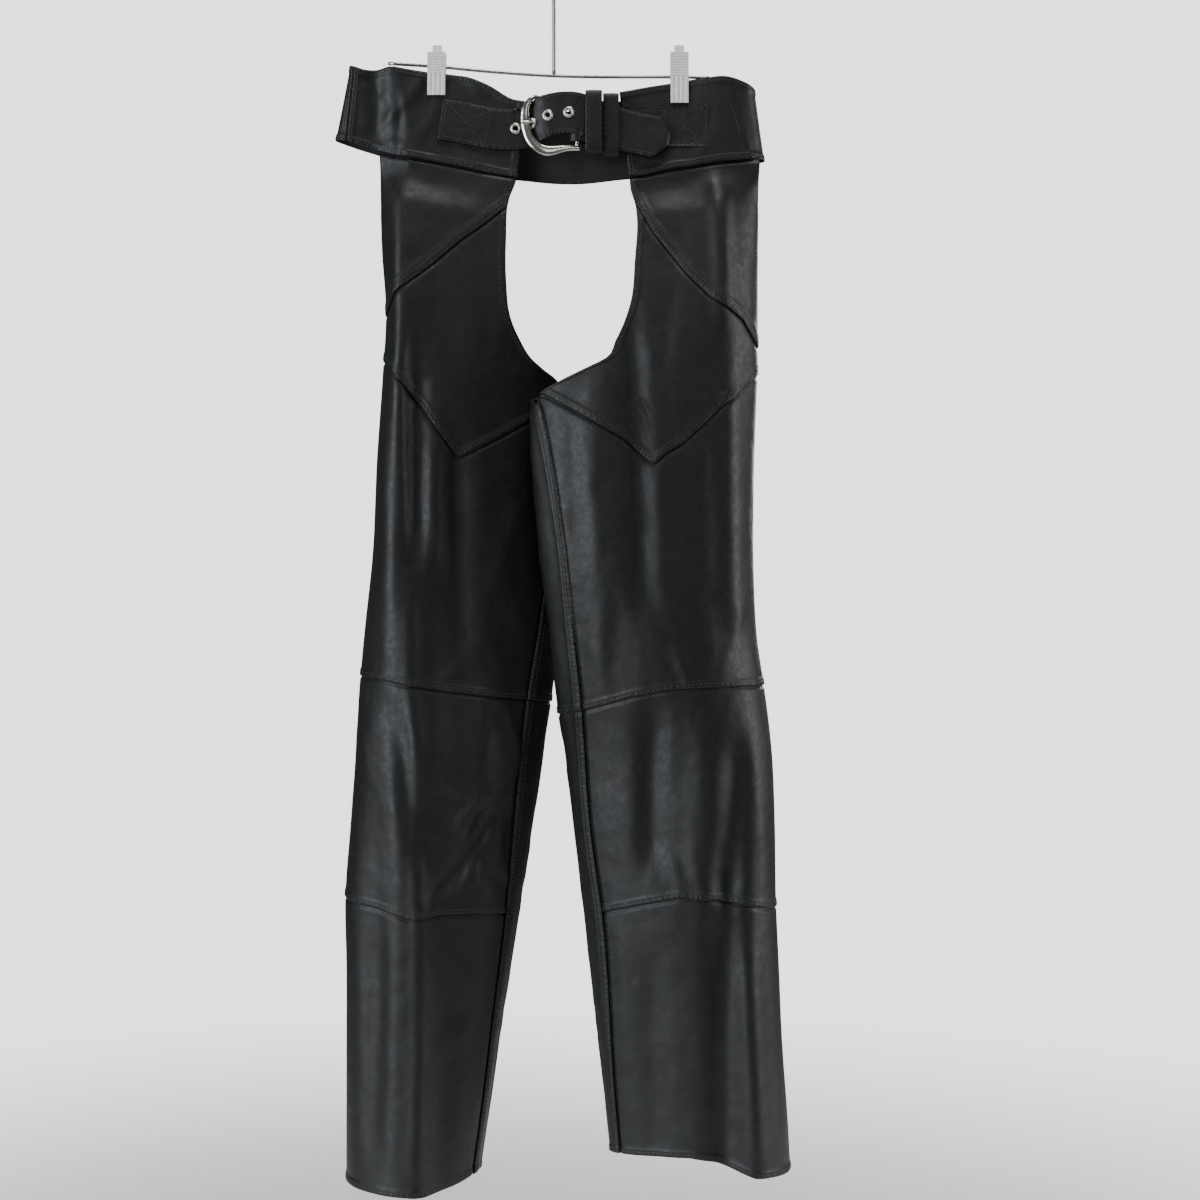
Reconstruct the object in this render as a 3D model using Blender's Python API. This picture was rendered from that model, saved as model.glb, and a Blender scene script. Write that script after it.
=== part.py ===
"""Black leather chaps, belt fastened, hanging by the waist from two clips on a wire hanger.

Tables are in millimetres and say how far a point lies across (x, from the hook),
towards the back (y) and below the hook seat (drop). Meshes are in metres, +Z up.
The front of the garment faces -Y. Left and right are the wearer's own.
"""
import bisect
import math
from collections import namedtuple

import bmesh
import bpy
import numpy as np
from mathutils import Matrix, Vector

MM = 0.001
MERGE_DISTANCE = 0.00001


def table(columns, *rows):
    """Rows of a table whose columns have names."""
    row_type = namedtuple("Row", columns)
    return [row_type(*row) for row in rows]


# Leather and seams
LEG_WALL = 2.0
YOKE_WALL = 2.4
STRAP_THICKNESS = 2.8
SLANT_GAP = 0.45
INSEAM_GAP = 0.6
STRAP_WIDTH = 39.5
ROD_SIDES = 8

# The outer seam lies just behind the outer edge of the leg, so it doesn't show from the front.
# At the top it is open: a notch from the yokes down to where it closes.
OUTER_SEAM_TURN = -0.08
LEG_TOP = 200.0
LEG_FOOT = 1230.0
NOTCH_TURN = 0.03
NOTCH_LOW_DROP = 276.0
NOTCH_CLOSING = 40.0

# Leg sections, a row for each height. outer and inner are the edges seen from the front,
# front and back the depth each side of the middle, ridge the place of the front ridge
# across the leg, from 0 at the outer edge to 1 at the inner one, and mid_out and mid_in
# how far back the two edges lie.
SECTION = "drop outer inner front back ridge mid_out mid_in"
RIGHT_SECTIONS = table(SECTION,
    (215, -169, -6, 10, 10, 0.30, 2, 0),
    (260, -168, -6, 24, 18, 0.25, 2, 2),
    (320, -166, -5, 36, 28, 0.20, 2, 4),
    (380, -162, -1, 44, 36, 0.16, 2, 9),
    (440, -165, 9, 50, 42, 0.13, 2, 17),
    (500, -169, 9, 54, 46, 0.12, 2, 20),
    (560, -173, 6, 58, 50, 0.13, 2, 21),
    (620, -177, 4, 60, 52, 0.16, 2, 18),
    (680, -183, 2, 62, 54, 0.22, 2, 13),
    (740, -188, -1, 62, 54, 0.28, 2, 7),
    (800, -191, -10, 62, 54, 0.34, 0, 0),
    (870, -196, -20, 62, 54, 0.38, 0, 0),
    (940, -201, -31, 62, 54, 0.42, 0, 0),
    (1010, -200, -42, 62, 54, 0.45, 0, 0),
    (1080, -200, -53, 63, 54, 0.48, 0, 0),
    (1150, -200, -63, 66, 54, 0.52, 0, 0),
    (1225, -200, -75, 70, 54, 0.55, 0, 0),
)
LEFT_SECTIONS = table(SECTION,
    (215, 199, 50, 10, 10, 0.35, 2, 0),
    (260, 198, 49, 24, 18, 0.40, 2, 0),
    (320, 197, 40, 36, 28, 0.40, 2, -5),
    (380, 196, 15, 46, 36, 0.40, 2, -13),
    (440, 193, -17, 52, 42, 0.40, 2, -20),
    (500, 190, -22, 56, 46, 0.40, 2, -20),
    (560, 188, -18, 58, 50, 0.40, 2, -21),
    (620, 188, -13, 60, 52, 0.40, 2, -19),
    (680, 194, -5, 60, 54, 0.40, 2, -14),
    (740, 203, 1, 60, 54, 0.38, 2, -8),
    (800, 210, 10, 60, 54, 0.36, 0, 0),
    (870, 213, 19, 60, 54, 0.34, 0, 0),
    (940, 214, 27, 58, 54, 0.32, 0, 0),
    (1010, 217, 35, 56, 54, 0.30, 0, 0),
    (1080, 220, 43, 55, 54, 0.28, 0, 0),
    (1150, 225, 51, 54, 54, 0.26, 0, 0),
    (1225, 229, 59, 52, 54, 0.25, 0, 0),
)

# Largest folds of the leg fronts. A fold runs from (top_x, top) to (low_x, low), where
# top and low are drops, is width across to each side, and rises (+) or sinks (-) by depth.
FOLD = "top top_x low low_x width depth"
RIGHT_FOLDS = table(FOLD,
    (260, -147, 560, -141, 11, 4),
    (440, -131, 600, -128, 12, -5),
    (520, -114, 620, -110, 11, 3),
    (520, -92, 700, -88, 12, -7),
    (740, -62, 860, -66, 14, 6),
    (850, -58, 930, -108, 11, -7),
    (860, -40, 930, -52, 10, -5),
    (760, -150, 900, -120, 13, -5),
    (960, -166, 1160, -170, 14, -4),
    (980, -90, 1200, -104, 14, -4),
)
LEFT_FOLDS = table(FOLD,
    (250, 168, 400, 160, 13, 5),
    (400, 74, 640, 84, 14, -9),
    (450, 165, 660, 172, 12, 7),
    (480, 36, 720, 40, 12, 4),
    (760, 94, 900, 92, 14, -7),
    (800, 172, 930, 166, 13, -8),
    (920, 164, 1200, 162, 14, -9),
    (1000, 184, 1200, 194, 11, 6),
    (1010, 96, 1180, 98, 15, -4),
)

# Seams and lower edges of the leg fronts
SEAM = "x drop"
RIGHT_HIP_SEAM = table(SEAM,
    (-185, 402), (-159, 380), (-149, 364), (-118, 339), (-90, 314), (-67, 297), (-45, 279), (-30, 268),
)
RIGHT_VEE_SEAM = table(SEAM,
    (-185, 408), (-160, 430), (-131, 464), (-111, 492), (-90, 521), (-57, 504), (-25, 485), (12, 462),
)
RIGHT_KNEE_SEAM = table(SEAM,
    (-200, 726), (-186, 728), (-158, 732), (-132, 737), (-97, 742), (-60, 747), (-25, 751), (8, 755),
)
RIGHT_CALF_SEAM = table(SEAM,
    (-205, 939), (-197, 941), (-164, 947), (-131, 956), (-104, 952), (-76, 952), (-44, 955), (-25, 957),
)
RIGHT_HEM = table(SEAM,
    (-210, 1211), (-174, 1212), (-119, 1214), (-92, 1209), (-73, 1204), (-60, 1202),
)
LEFT_HIP_SEAM = table(SEAM,
    (60, 248), (77, 272), (95, 305), (123, 342), (148, 369), (178, 390), (192, 410), (205, 424),
)
LEFT_VEE_SEAM = table(SEAM,
    (-20, 459), (-6, 462), (35, 486), (71, 507), (92, 529), (105, 519), (123, 509), (150, 482),
                 (180, 453), (200, 432),
)
LEFT_KNEE_SEAM = table(SEAM,
    (-10, 767), (7, 765), (28, 761), (76, 747), (112, 740), (148, 738), (215, 737),
)
LEFT_CALF_SEAM = table(SEAM,
    (20, 958), (47, 954), (84, 944), (120, 936), (157, 939), (225, 952),
)
LEFT_HEM = table(SEAM,
    (40, 1188), (55, 1187), (129, 1183), (153, 1186), (178, 1195), (190, 1199), (240, 1203),
)

# Inner edge of the front panels: the crotch edge, then the inseam
EDGE = "drop x"
RIGHT_FRONT_EDGE = table(EDGE,
    (240, -34), (253, -36), (272, -43), (311, -46), (350, -46), (388, -41), (407, -32), (425, -20),
                    (434, -9), (443, 3), (456, 5), (530, -1), (588, -7), (651, -10), (694, -16),
                    (750, -25),
                    (854, -36), (964, -46), (1051, -57), (1157, -70), (1225, -80),
)
LEFT_FRONT_EDGE = table(EDGE,
    (240, 73), (263, 74), (273, 77), (336, 77), (374, 73), (411, 59), (429, 48), (436, 33),
                   (448, 8), (461, -14), (475, -11), (535, 1), (607, 12), (680, 19), (747, 26), (880, 36),
                   (960, 47), (1123, 58), (1225, 67),
)

# Inner edge of the back panel above the crotch, out of sight behind the front
RIGHT_BACK_EDGE = table(EDGE,
    (225, -62), (300, -60), (370, -58), (410, -50), (432, -32), (444, -12), (449, 8),
)
LEFT_BACK_EDGE = table(EDGE,
    (225, 92), (300, 90), (370, 86), (411, 76), (432, 58), (446, 30), (458, 0), (462, -16),
)
CROTCH_RAMP = 6.0

# Waist: stations round the body from the right front end, past the right side and the back,
# to the left front end. Each has the top and the lower edge of the yoke.
WAIST_COLUMNS = "top_x top_y top_drop low_x low_y low_drop"
WAIST = table(WAIST_COLUMNS,
    (-27, -5, 176, -35, -11, 250),
    (-43, -5, 172, -52, -12, 248),
    (-61, -5, 161, -71, -12, 244),
    (-80, -4, 153, -88, -12, 240),
    (-103, -3.2, 149, -104, -12, 237),
    (-123, -3.2, 147, -122, -13, 234),
    (-141, -8, 145, -139, -14, 231),
    (-157, -9, 143, -154, -8, 228),
    (-170, -3, 145, -170, -2, 223),
    (-182, -5, 145, -187, -3, 218),
    (-192, -5, 142, -200, -3, 214),
    (-196, 1, 140, -211, 3, 212),
    (-192, 8, 141, -206, 12, 213),
    (-172, 10, 143, -184, 15, 220),
    (-145, 7, 145, -150, 14, 230),
    (-123, 3.8, 147, -122, 13, 236),
    (-103, 3.8, 149, -104, 12, 240),
    (-62, 6, 166, -64, 12, 246),
    (-30, 7, 178, -31, 12, 249),
    (0, 8, 182, 0, 12, 252),
    (31, 8, 181, 30, 12, 252),
    (66, 7, 172, 66, 12, 248),
    (112, 3.8, 158, 112, 12, 244),
    (130, 3.8, 156, 131, 13, 241),
    (158, 10, 156, 160, 17, 236),
    (182, 16, 158, 188, 20, 232),
    (194, 10, 161, 203, 12, 231),
    (188, -1, 158, 201, 2, 231),
    (175, -7, 154, 193, -5, 231),
    (163, -9, 152, 187, -8, 232),
    (148, -7, 153, 160, -12, 235),
    (130, -3.2, 155, 131, -13, 240),
    (112, -3.2, 158, 114, -13, 242),
    (88, -4, 162, 88, -12, 248),
    (63, -5, 167, 72, -11, 249),
)
RIGHT_SIDE_STATION = 10
LEFT_SIDE_STATION = 29
YOKE_BLEND = 45.0
YOKE_LOW_DROP = max(row.low_drop for row in WAIST)
YOKE_SEAM_GAP = 0.6

# Belt. Lift is how far the middle of a layer lies in front of the yokes.
BELT = "x lift drop"
BILLET_ROUTE = table(BELT,
    (-109, 2.1, 194), (-95, 2.1, 196), (-78, 2.1, 199.5), (-60, 2.1, 203), (-45, 2.3, 204),
    (-33, 2.8, 203),
    (-27, 3.4, 201), (-21, 5.0, 199), (-16, 8.2, 196.8), (-11, 11.0, 194.8), (-4, 13.0, 192),
    (8, 14.2, 190),
    (20, 14.8, 190.5), (29, 13.6, 193), (34, 12.0, 194.6), (41, 9.9, 197), (52, 8.2, 201),
    (66, 7.2, 205.5),
    (82, 6.6, 209), (99, 6.4, 212.5),
)
BILLET_POINT = 12.0
BUCKLE_STRAP_ROUTE = table(BELT,
    (150, 2.1, 201), (128, 2.1, 201), (104, 2.1, 201), (80, 2.1, 200.5), (58, 2.1, 200), (42, 2.1, 199),
    (31, 2.5, 198.5), (25, 2.8, 198.3),
)
BUCKLE_STRAP_RETURN = table(BELT,
    (25, 10.3, 198.3), (31, 8.4, 198.5), (38, 5.9, 199), (45, 5.4, 199.5),
)
BUCKLE_STRAP_WIDTH = 38.0
# The straps follow the yokes' slope outside these places, which they reach over BELT_EASE.
BELT_FLAT = (-40.0, 42.0)
BELT_EASE = 24.0

# Buckle. The heel bar is as x, y and the drops of its two ends. The strap wraps it between
# two angles, at STRAP_WRAP from its axis, and has a slot for the prong.
HEEL_BAR = (22.5, -14.0, 175.0, 221.5)
HEEL_BAR_RADIUS = 2.1
STRAP_WRAP = 3.8
WRAP_ANGLES = (105, 255)
WRAP_STEPS = 7
WRAP_DROP = 198.3
PRONG_SLOT = ((15.5, -22.0, 191.0), (31.5, -6.0, 199.0))
FRAME = "x y drop half_width"
FRAME_ROUTE = table(FRAME,
    (25.5, -14.0, 222.5, 2.6), (12, -15.5, 223, 3.0), (0, -17.5, 225.5, 4.4), (-8, -18.8, 226, 4.8),
    (-16, -19.4, 222.5, 4.6), (-23, -19.3, 214.5, 4.4), (-26.5, -18.4, 204, 4.3),
    (-27.5, -17.4, 193, 4.3),
    (-26.5, -17.0, 184, 3.6), (-21, -15.8, 175.4, 2.2), (-14.5, -12.6, 173.4, 2.0),
    (-8, -11.8, 173.6, 2.4),
    (2, -12.2, 173.6, 2.6), (14, -13.2, 173.8, 2.6), (25.5, -14.0, 174, 2.6),
)
FRAME_HALF_DEPTH = 2.1
FRAME_STEPS = 44
FRAME_SIDES = 8

# Eyelets of the billet. They stand off a little where the strap bends.
EYELETS = table("x drop stand_off",
    (-36.5, 203.4, 0.5), (-21.0, 199.0, 1.1), (-5.5, 192.6, 0.4), (14.5, 190.2, 0.4),
)
EYELET_HOLE = 2.7
EYELET_FLANGE = 5.2
STRAP_HOLE = 2.9
CUTTER_LENGTH = 16.0
EYELET_RIM = 0.7
EYELET_CHAMFER = 0.3
EYELET_SEGMENTS = 20
PRONG_ROUTE = table("x y drop",
    (20.0, -14.0, 195), (8, -15.5, 196), (-4, -14.2, 197), (-12, -12.2, 197.9), (-17.5, -10.6, 198.6),
    (-19.8, -12.0, 198.9), (-20.8, -16, 199.1), (-22.0, -20.5, 199.3), (-26, -21.7, 199.4),
    (-31, -21.7, 199.6),
)
PRONG_RADIUS = 1.25

# Keepers, back and front being how far the loop reaches in front of the yokes
KEEPERS = table("name x width drop half_height back front",
    ("keeper_1", 38.4, 16.0, 198.3, 30.0, -3.1, 18.6), ("keeper_2", 54.8, 15.0, 200.4, 30.0, -3.5, 13.6),
)

KEEPER_WALL = 2.0
KEEPER_POINTS = 28
KEEPER_END_ROUNDING = 0.75
KEEPER_FACE_ROUNDING = 0.3

# Clips. edge is the drop of the yoke's top edge there and foot that of the jaws' foot. Jaws
# are given by their inner faces down to the yoke, then by a face at the edge and one at the foot.
CLIPS = table("side x edge foot",
    ("right", -113.0, 147.5, 170.5), ("left", 121.0, 156.0, 178.0),
)
FRONT_JAW = table("drop face half_width",
    (128, 3.7, 8.7), (142, 3.7, 8.7),
)
FRONT_GRIP = (3.8, 6.5)
BACK_JAW = table("drop face half_width",
    (119, 5.2, 4.6), (126.5, 4.2, 4.6), (127.5, 4.0, 8.7), (136, 3.7, 8.7), (142, 3.7, 8.7),
)
BACK_GRIP = (4.4, 7.1)
JAW_THICKNESS = 2.6
SLEEVE_RADIUS = 3.3
SLEEVE_LENGTH = 13.0
SLEEVE_PLAY = 0.3
SLEEVE_SEGMENTS = 16

# Hanger wire: the bar, the stem up to the hook, and the hook's arc in degrees
BAR_ROUTE = table("x drop",
    (-160, 138), (-113, 141), (-60, 146), (0, 150), (60, 151), (121, 151), (150, 152),
)
BAR_RADIUS = 1.6
STEM_ROUTE = table("x drop",
    (0, 148), (0, 120), (0, 90), (0, 68), (4, 52), (14, 38),
)
HOOK_RADIUS = 20.0
HOOK_WIRE_RADIUS = 2.0
HOOK_ARC = (-12, 205)
HOOK_STEPS = 10

LEATHER = ("leather", "#1b1c1b", 0.42, 0.0)
NICKEL = ("nickel", "#c9c7c2", 0.22, 1.0)
CLIP_PLASTIC = ("clip_plastic", "#dcd8cc", 0.45, 0.0)
WIRE = ("wire", "#b9bab8", 0.3, 1.0)


def clear_scene():
    for old in list(bpy.data.objects):
        bpy.data.objects.remove(old)


def linear(hex_colour):
    values = [int(hex_colour[i:i + 2], 16) / 255 for i in (1, 3, 5)]
    return [v / 12.92 if v <= 0.04045 else ((v + 0.055) / 1.055) ** 2.4 for v in values] + [1.0]


def material(name, kind):
    finish, colour, roughness, metallic = kind
    made = bpy.data.materials.new(name + "_" + finish)
    made.use_nodes = True
    shader = made.node_tree.nodes["Principled BSDF"]
    shader.inputs["Base Color"].default_value = linear(colour)
    shader.inputs["Roughness"].default_value = roughness
    shader.inputs["Metallic"].default_value = metallic
    return made


def add_object(name, bm, kind):
    bmesh.ops.recalc_face_normals(bm, faces=bm.faces[:])
    mesh = bpy.data.meshes.new(name)
    bm.to_mesh(mesh)
    bm.free()
    mesh.materials.append(material(name, kind))
    mesh.shade_smooth()
    mesh.set_sharp_from_angle(angle=math.radians(40))
    made = bpy.data.objects.new(name, mesh)
    bpy.context.scene.collection.objects.link(made)
    return made


def world(x, y, drop):
    return Vector((x, y, -drop)) * MM


# Smooth curves through the rows of a table

class Curve:
    """Smooth curve of one column of a table over another, held at both ends."""

    def __init__(self, keys, values):
        self.keys = [float(k) for k in keys]
        self.values = [float(v) for v in values]
        self.slopes = [float(s) for s in np.gradient(self.values, self.keys)]

    def at(self, key):
        key = min(max(key, self.keys[0]), self.keys[-1])
        i = min(max(bisect.bisect_left(self.keys, key) - 1, 0), len(self.keys) - 2)
        h = self.keys[i + 1] - self.keys[i]
        t = (key - self.keys[i]) / h
        share = 3 * t ** 2 - 2 * t ** 3
        lean_in = (t ** 3 - 2 * t ** 2 + t) * h * self.slopes[i]
        lean_out = (t ** 3 - t ** 2) * h * self.slopes[i + 1]
        return lerp(self.values[i], self.values[i + 1], share) + lean_in + lean_out


def column(rows, index):
    return [row[index] for row in rows]


def route_curves(rows):
    """A curve for each column, over the row's place in the table."""
    return [Curve(range(len(rows)), column(rows, k)) for k in range(len(rows[0]))]


def straight(rows, key_column, value_column, key):
    """Value between rows joined by straight lines, held at both ends."""
    if key <= rows[0][key_column]:
        return rows[0][value_column]
    for first, second in zip(rows, rows[1:]):
        if key <= second[key_column]:
            share = (key - first[key_column]) / (second[key_column] - first[key_column])
            return lerp(first[value_column], second[value_column], share)
    return rows[-1][value_column]


def lerp(a, b, t):
    return a + (b - a) * t


def ease(t):
    t = min(max(t, 0.0), 1.0)
    return t * t * (3 - 2 * t)


# Waist

WAIST_CURVES = route_curves(WAIST)


def waist_point(station, share):
    top_x, top_y, top_drop, low_x, low_y, low_drop = [curve.at(station) for curve in WAIST_CURVES]
    return world(lerp(top_x, low_x, share), lerp(top_y, low_y, share), lerp(top_drop, low_drop, share))


def waist_low_edge(front, right):
    """Lower edge of one stretch of the yoke, as x, y and drop, sorted by x."""
    half = len(WAIST) // 2 + 2
    if front:
        picked = WAIST[:RIGHT_SIDE_STATION + 1] if right else WAIST[LEFT_SIDE_STATION:]
    else:
        picked = WAIST[RIGHT_SIDE_STATION + 2:half] if right else WAIST[half:LEFT_SIDE_STATION - 2]
    return sorted((row.low_x, row.low_y, row.low_drop) for row in picked)


# Legs

class Leg:
    """One leg as a surface: turn 0 is the outer edge, 1 the inner edge and 2 the outer again."""

    def __init__(self, sections, folds, front_edge, back_edge, right):
        drops = column(sections, 0)
        self.curves = [Curve(drops, column(sections, k)) for k in range(1, len(sections[0]))]
        self.folds = folds
        self.front_edge = Curve(column(front_edge, 0), column(front_edge, 1))
        self.back_edge = Curve(column(back_edge, 0), column(back_edge, 1))
        self.crotch = back_edge[-1].drop
        self.front_low = waist_low_edge(True, right)
        self.back_low = waist_low_edge(False, right)

    def section(self, drop):
        return [curve.at(drop) for curve in self.curves]

    def x_at(self, turn, drop):
        outer, inner = self.section(drop)[:2]
        return lerp(outer, inner, 0.5 - 0.5 * math.cos(math.pi * turn))

    def turn_at(self, x, drop):
        """Turn, on the front half, of the point that lies at x."""
        outer, inner = self.section(drop)[:2]
        across = min(max((x - outer) / (inner - outer), 0.0), 1.0)
        return math.acos(1 - 2 * across) / math.pi

    def fold(self, x, drop):
        total = 0.0
        for top, top_x, low, low_x, width, depth in self.folds:
            t = (drop - top) / (low - top)
            if -0.25 < t < 1.25:
                window = ease((t + 0.25) / 0.4) * ease((1.25 - t) / 0.4)
                total += depth * window * math.exp(-((x - lerp(top_x, low_x, t)) / width) ** 2)
        return total

    def point(self, turn, drop):
        outer, inner, front, back, ridge, mid_out, mid_in = self.section(drop)
        on_front = turn % 2 <= 1
        across = 0.5 - 0.5 * math.cos(math.pi * turn)
        x = lerp(outer, inner, across)
        middle = lerp(mid_out, mid_in, across)
        peak = ridge if on_front else 0.45
        if across < peak:
            away = (peak - across) / peak
            power = 2.0
        else:
            away = (across - peak) / (1 - peak)
            power = 1.5
        depth = max(0.0, 1 - away ** power) ** (1 / power)
        if on_front:
            y = middle - front * depth - self.fold(x, drop) * math.sqrt(depth)
        else:
            y = middle + back * depth
        low = self.front_low if on_front else self.back_low
        if drop < YOKE_LOW_DROP + YOKE_BLEND:
            near = ease(1 - (drop - straight(low, 0, 2, x)) / YOKE_BLEND)
            y = lerp(y, straight(low, 0, 1, x), near)
        return Vector((x, y, -drop)) * MM

    def front_start(self, drop):
        return lerp(NOTCH_TURN, OUTER_SEAM_TURN, ease((drop - NOTCH_LOW_DROP) / NOTCH_CLOSING))

    def back_end(self, drop):
        return 2 + lerp(-NOTCH_TURN, OUTER_SEAM_TURN, ease((drop - NOTCH_LOW_DROP) / NOTCH_CLOSING))

    def front_end(self, drop):
        return self.turn_at(self.front_edge.at(drop), drop)

    def back_start(self, drop):
        """Where the back panel starts: on the inseam below the crotch, on the back leaf above it."""
        if drop >= self.crotch + CROTCH_RAMP:
            return self.front_end(drop)
        if drop <= self.crotch:
            return 2 - self.turn_at(self.back_edge.at(drop), drop)
        share = (drop - self.crotch) / CROTCH_RAMP
        above = 2 - self.turn_at(self.back_edge.values[-1], self.crotch)
        return lerp(above, self.front_end(self.crotch + CROTCH_RAMP), share)

    def speed(self, turn, drop):
        step = 0.01
        return (self.point(turn + step, drop) - self.point(turn - step, drop)).length / (2 * step * MM)


def wall_solid(name, surface, columns, rows, wall, kind):
    """Closed wall whose outer face is surface(across, down), which gives a point and its normal."""
    bm = bmesh.new()
    bmesh.ops.create_grid(bm, x_segments=columns, y_segments=rows, size=0.5)
    outer = bm.verts[:]
    grown = bmesh.ops.extrude_face_region(bm, geom=bm.faces[:], use_keep_orig=True)["geom"]
    inner = [v for v in grown if isinstance(v, bmesh.types.BMVert)]
    for verts, depth in ((outer, 0.0), (inner, wall)):
        for v in verts:
            point, normal = surface(v.co.x + 0.5, 0.5 - v.co.y)
            v.co = point - normal * depth * MM
    bmesh.ops.triangulate(bm, faces=bm.faces[:], quad_method="SHORT_EDGE")
    return add_object(name, bm, kind)


def seam_gap(seam, x):
    """Gap down the leg that leaves SLANT_GAP square to the seam."""
    slope = (seam(x + 1) - seam(x - 1)) / 2
    return SLANT_GAP * math.sqrt(1 + slope * slope)


def leg_panel(name, leg, upper, lower, columns, rows, start, end):
    """Panel of a leg between two seams, given as drop(x), and two edges, given as turn(drop)."""
    def surface(f, g):
        low, high = LEG_TOP, LEG_FOOT
        for _ in range(24):
            drop = (low + high) / 2
            turn = lerp(start(drop), end(drop), f)
            x = leg.x_at(turn, drop)
            if lerp(upper(x) + seam_gap(upper, x) / 2, lower(x) - seam_gap(lower, x) / 2, g) > drop:
                low = drop
            else:
                high = drop
        gap = INSEAM_GAP / 2 / leg.speed(turn, drop)
        turn += lerp(gap, -gap, f)
        outward = leg.point(turn, drop) - leg_middle(leg, drop)
        step = 0.012
        over = leg.point(turn + step, drop) - leg.point(turn - step, drop)
        down = leg.point(turn, drop + 1) - leg.point(turn, drop - 1)
        normal = over.cross(down).normalized()
        if normal.dot(outward) < 0:
            normal.negate()
        return leg.point(turn, drop), normal
    return wall_solid(name, surface, columns, rows, LEG_WALL, LEATHER)


def leg_middle(leg, drop):
    outer, inner, _, _, _, mid_out, mid_in = leg.section(drop)
    return Vector(((outer + inner) / 2, (mid_out + mid_in) / 2, -drop)) * MM


def waist_seam(low):
    return lambda x: straight(low, 0, 2, x) + YOKE_SEAM_GAP


def table_seam(rows):
    return lambda x: straight(rows, 0, 1, x)


def build_leg(side, leg, hip, vee, knee, calf, hem):
    seams = [waist_seam(leg.front_low)] + [table_seam(rows) for rows in (hip, vee, knee, calf, hem)]
    names = ("hip_panel", "thigh_panel", "lower_thigh_panel", "knee_panel", "shin_panel")
    counts = (6, 7, 10, 8, 9)
    for name, rows, upper, lower in zip(names, counts, seams, seams[1:]):
        leg_panel(side + "_" + name, leg, upper, lower, 12, rows, leg.front_start, leg.front_end)
    back_top = waist_seam(leg.back_low)
    leg_panel(side + "_back_thigh", leg, back_top, seams[3], 12, 20, leg.back_start, leg.back_end)
    leg_panel(side + "_back_calf", leg, seams[3], seams[5], 12, 16, leg.back_start, leg.back_end)


# Yokes

def build_yoke(name, first, last, columns):
    step = 0.1

    def run(station, share):
        return (waist_point(station + step, share) - waist_point(station - step, share)) / (2 * step * MM)

    def surface(f, g):
        station = lerp(first, last, f)
        station += lerp(1, -1, f) * YOKE_SEAM_GAP / 2 / run(station, g).length
        return waist_point(station, g), run(station, g).cross(Vector((0, 0, -1))).normalized()
    return wall_solid(name, surface, columns, 3, YOKE_WALL, LEATHER)


def yoke_front(x, drop):
    """How far back the front of the yokes lies, and between their ends a line across the gap."""
    found = []
    for row in WAIST[:RIGHT_SIDE_STATION] + WAIST[LEFT_SIDE_STATION:]:
        share = min(max((drop - row.top_drop) / (row.low_drop - row.top_drop), 0), 1)
        found.append((lerp(row.top_x, row.low_x, share), lerp(row.top_y, row.low_y, share)))
    return straight(sorted(found), 0, 1, x)


# Belt

def band(name, route, width, point_length=0.0, stations=24):
    """Flat strap along a route of x, y and drop, the same width all along."""
    curves = route_curves(route)
    last = len(route) - 1
    bm = bmesh.new()
    bmesh.ops.create_grid(bm, x_segments=stations, y_segments=4, size=0.5)
    front = bm.verts[:]
    grown = bmesh.ops.extrude_face_region(bm, geom=bm.faces[:], use_keep_orig=True)["geom"]
    back = [v for v in grown if isinstance(v, bmesh.types.BMVert)]
    for verts, side in ((front, -0.5), (back, 0.5)):
        for v in verts:
            at = (v.co.x + 0.5) * last
            centre = Vector([curve.at(at) for curve in curves])
            run = Vector([curve.at(at + 0.05) - curve.at(at - 0.05) for curve in curves]).normalized()
            flat = Vector((run.x, run.y, 0)).normalized()
            normal = Vector((-flat.y, flat.x, 0))
            down = normal.cross(run).normalized()
            if down.z < 0:
                down.negate()
            shape = centre + down * v.co.y * width + normal * side * STRAP_THICKNESS
            shape.y += lean(centre.x) * (yoke_front(centre.x, shape.z) - yoke_front(centre.x, centre.z))
            if point_length and v.co.x > 0.49:
                shape += run * point_length * (1 - (2 * v.co.y) ** 2)
            v.co = world(*shape)
    return add_object(name, bm, LEATHER)


def lean(x):
    """Share of the yoke's slope that a strap takes: all of it where it is sewn on."""
    return max(ease((BELT_FLAT[0] - x) / BELT_EASE + 1), ease((x - BELT_FLAT[1]) / BELT_EASE))


def on_yoke(route):
    return [(x, yoke_front(x, drop) - lift, drop) for x, lift, drop in route]


def build_belt():
    billet = band("billet", on_yoke(BILLET_ROUTE), STRAP_WIDTH, BILLET_POINT, 32)
    for number, (x, drop, stand_off) in enumerate(EYELETS, 1):
        cut_round(billet, "eyelet_hole_%d" % number, x, drop, STRAP_HOLE)
        build_eyelet(number, x, drop, stand_off)
    wrap = []
    bar_x, bar_y = HEEL_BAR[:2]
    for step in range(WRAP_STEPS):
        angle = math.radians(lerp(*WRAP_ANGLES, step / (WRAP_STEPS - 1)))
        wrap.append((bar_x + STRAP_WRAP * math.cos(angle), bar_y + STRAP_WRAP * math.sin(angle), WRAP_DROP))
    first = on_yoke(BUCKLE_STRAP_ROUTE)
    last = on_yoke(BUCKLE_STRAP_RETURN)
    strap = band("buckle_strap", first + wrap + last, BUCKLE_STRAP_WIDTH, 0.0, 44)
    cut(strap, box("prong_slot", *PRONG_SLOT))
    for keeper in KEEPERS:
        build_keeper(keeper)


def cut(made, cutter):
    cutter.hide_render = True
    cutter.display_type = "WIRE"
    modifier = made.modifiers.new(cutter.name, "BOOLEAN")
    modifier.operation = "DIFFERENCE"
    modifier.solver = "EXACT"
    modifier.object = cutter


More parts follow.
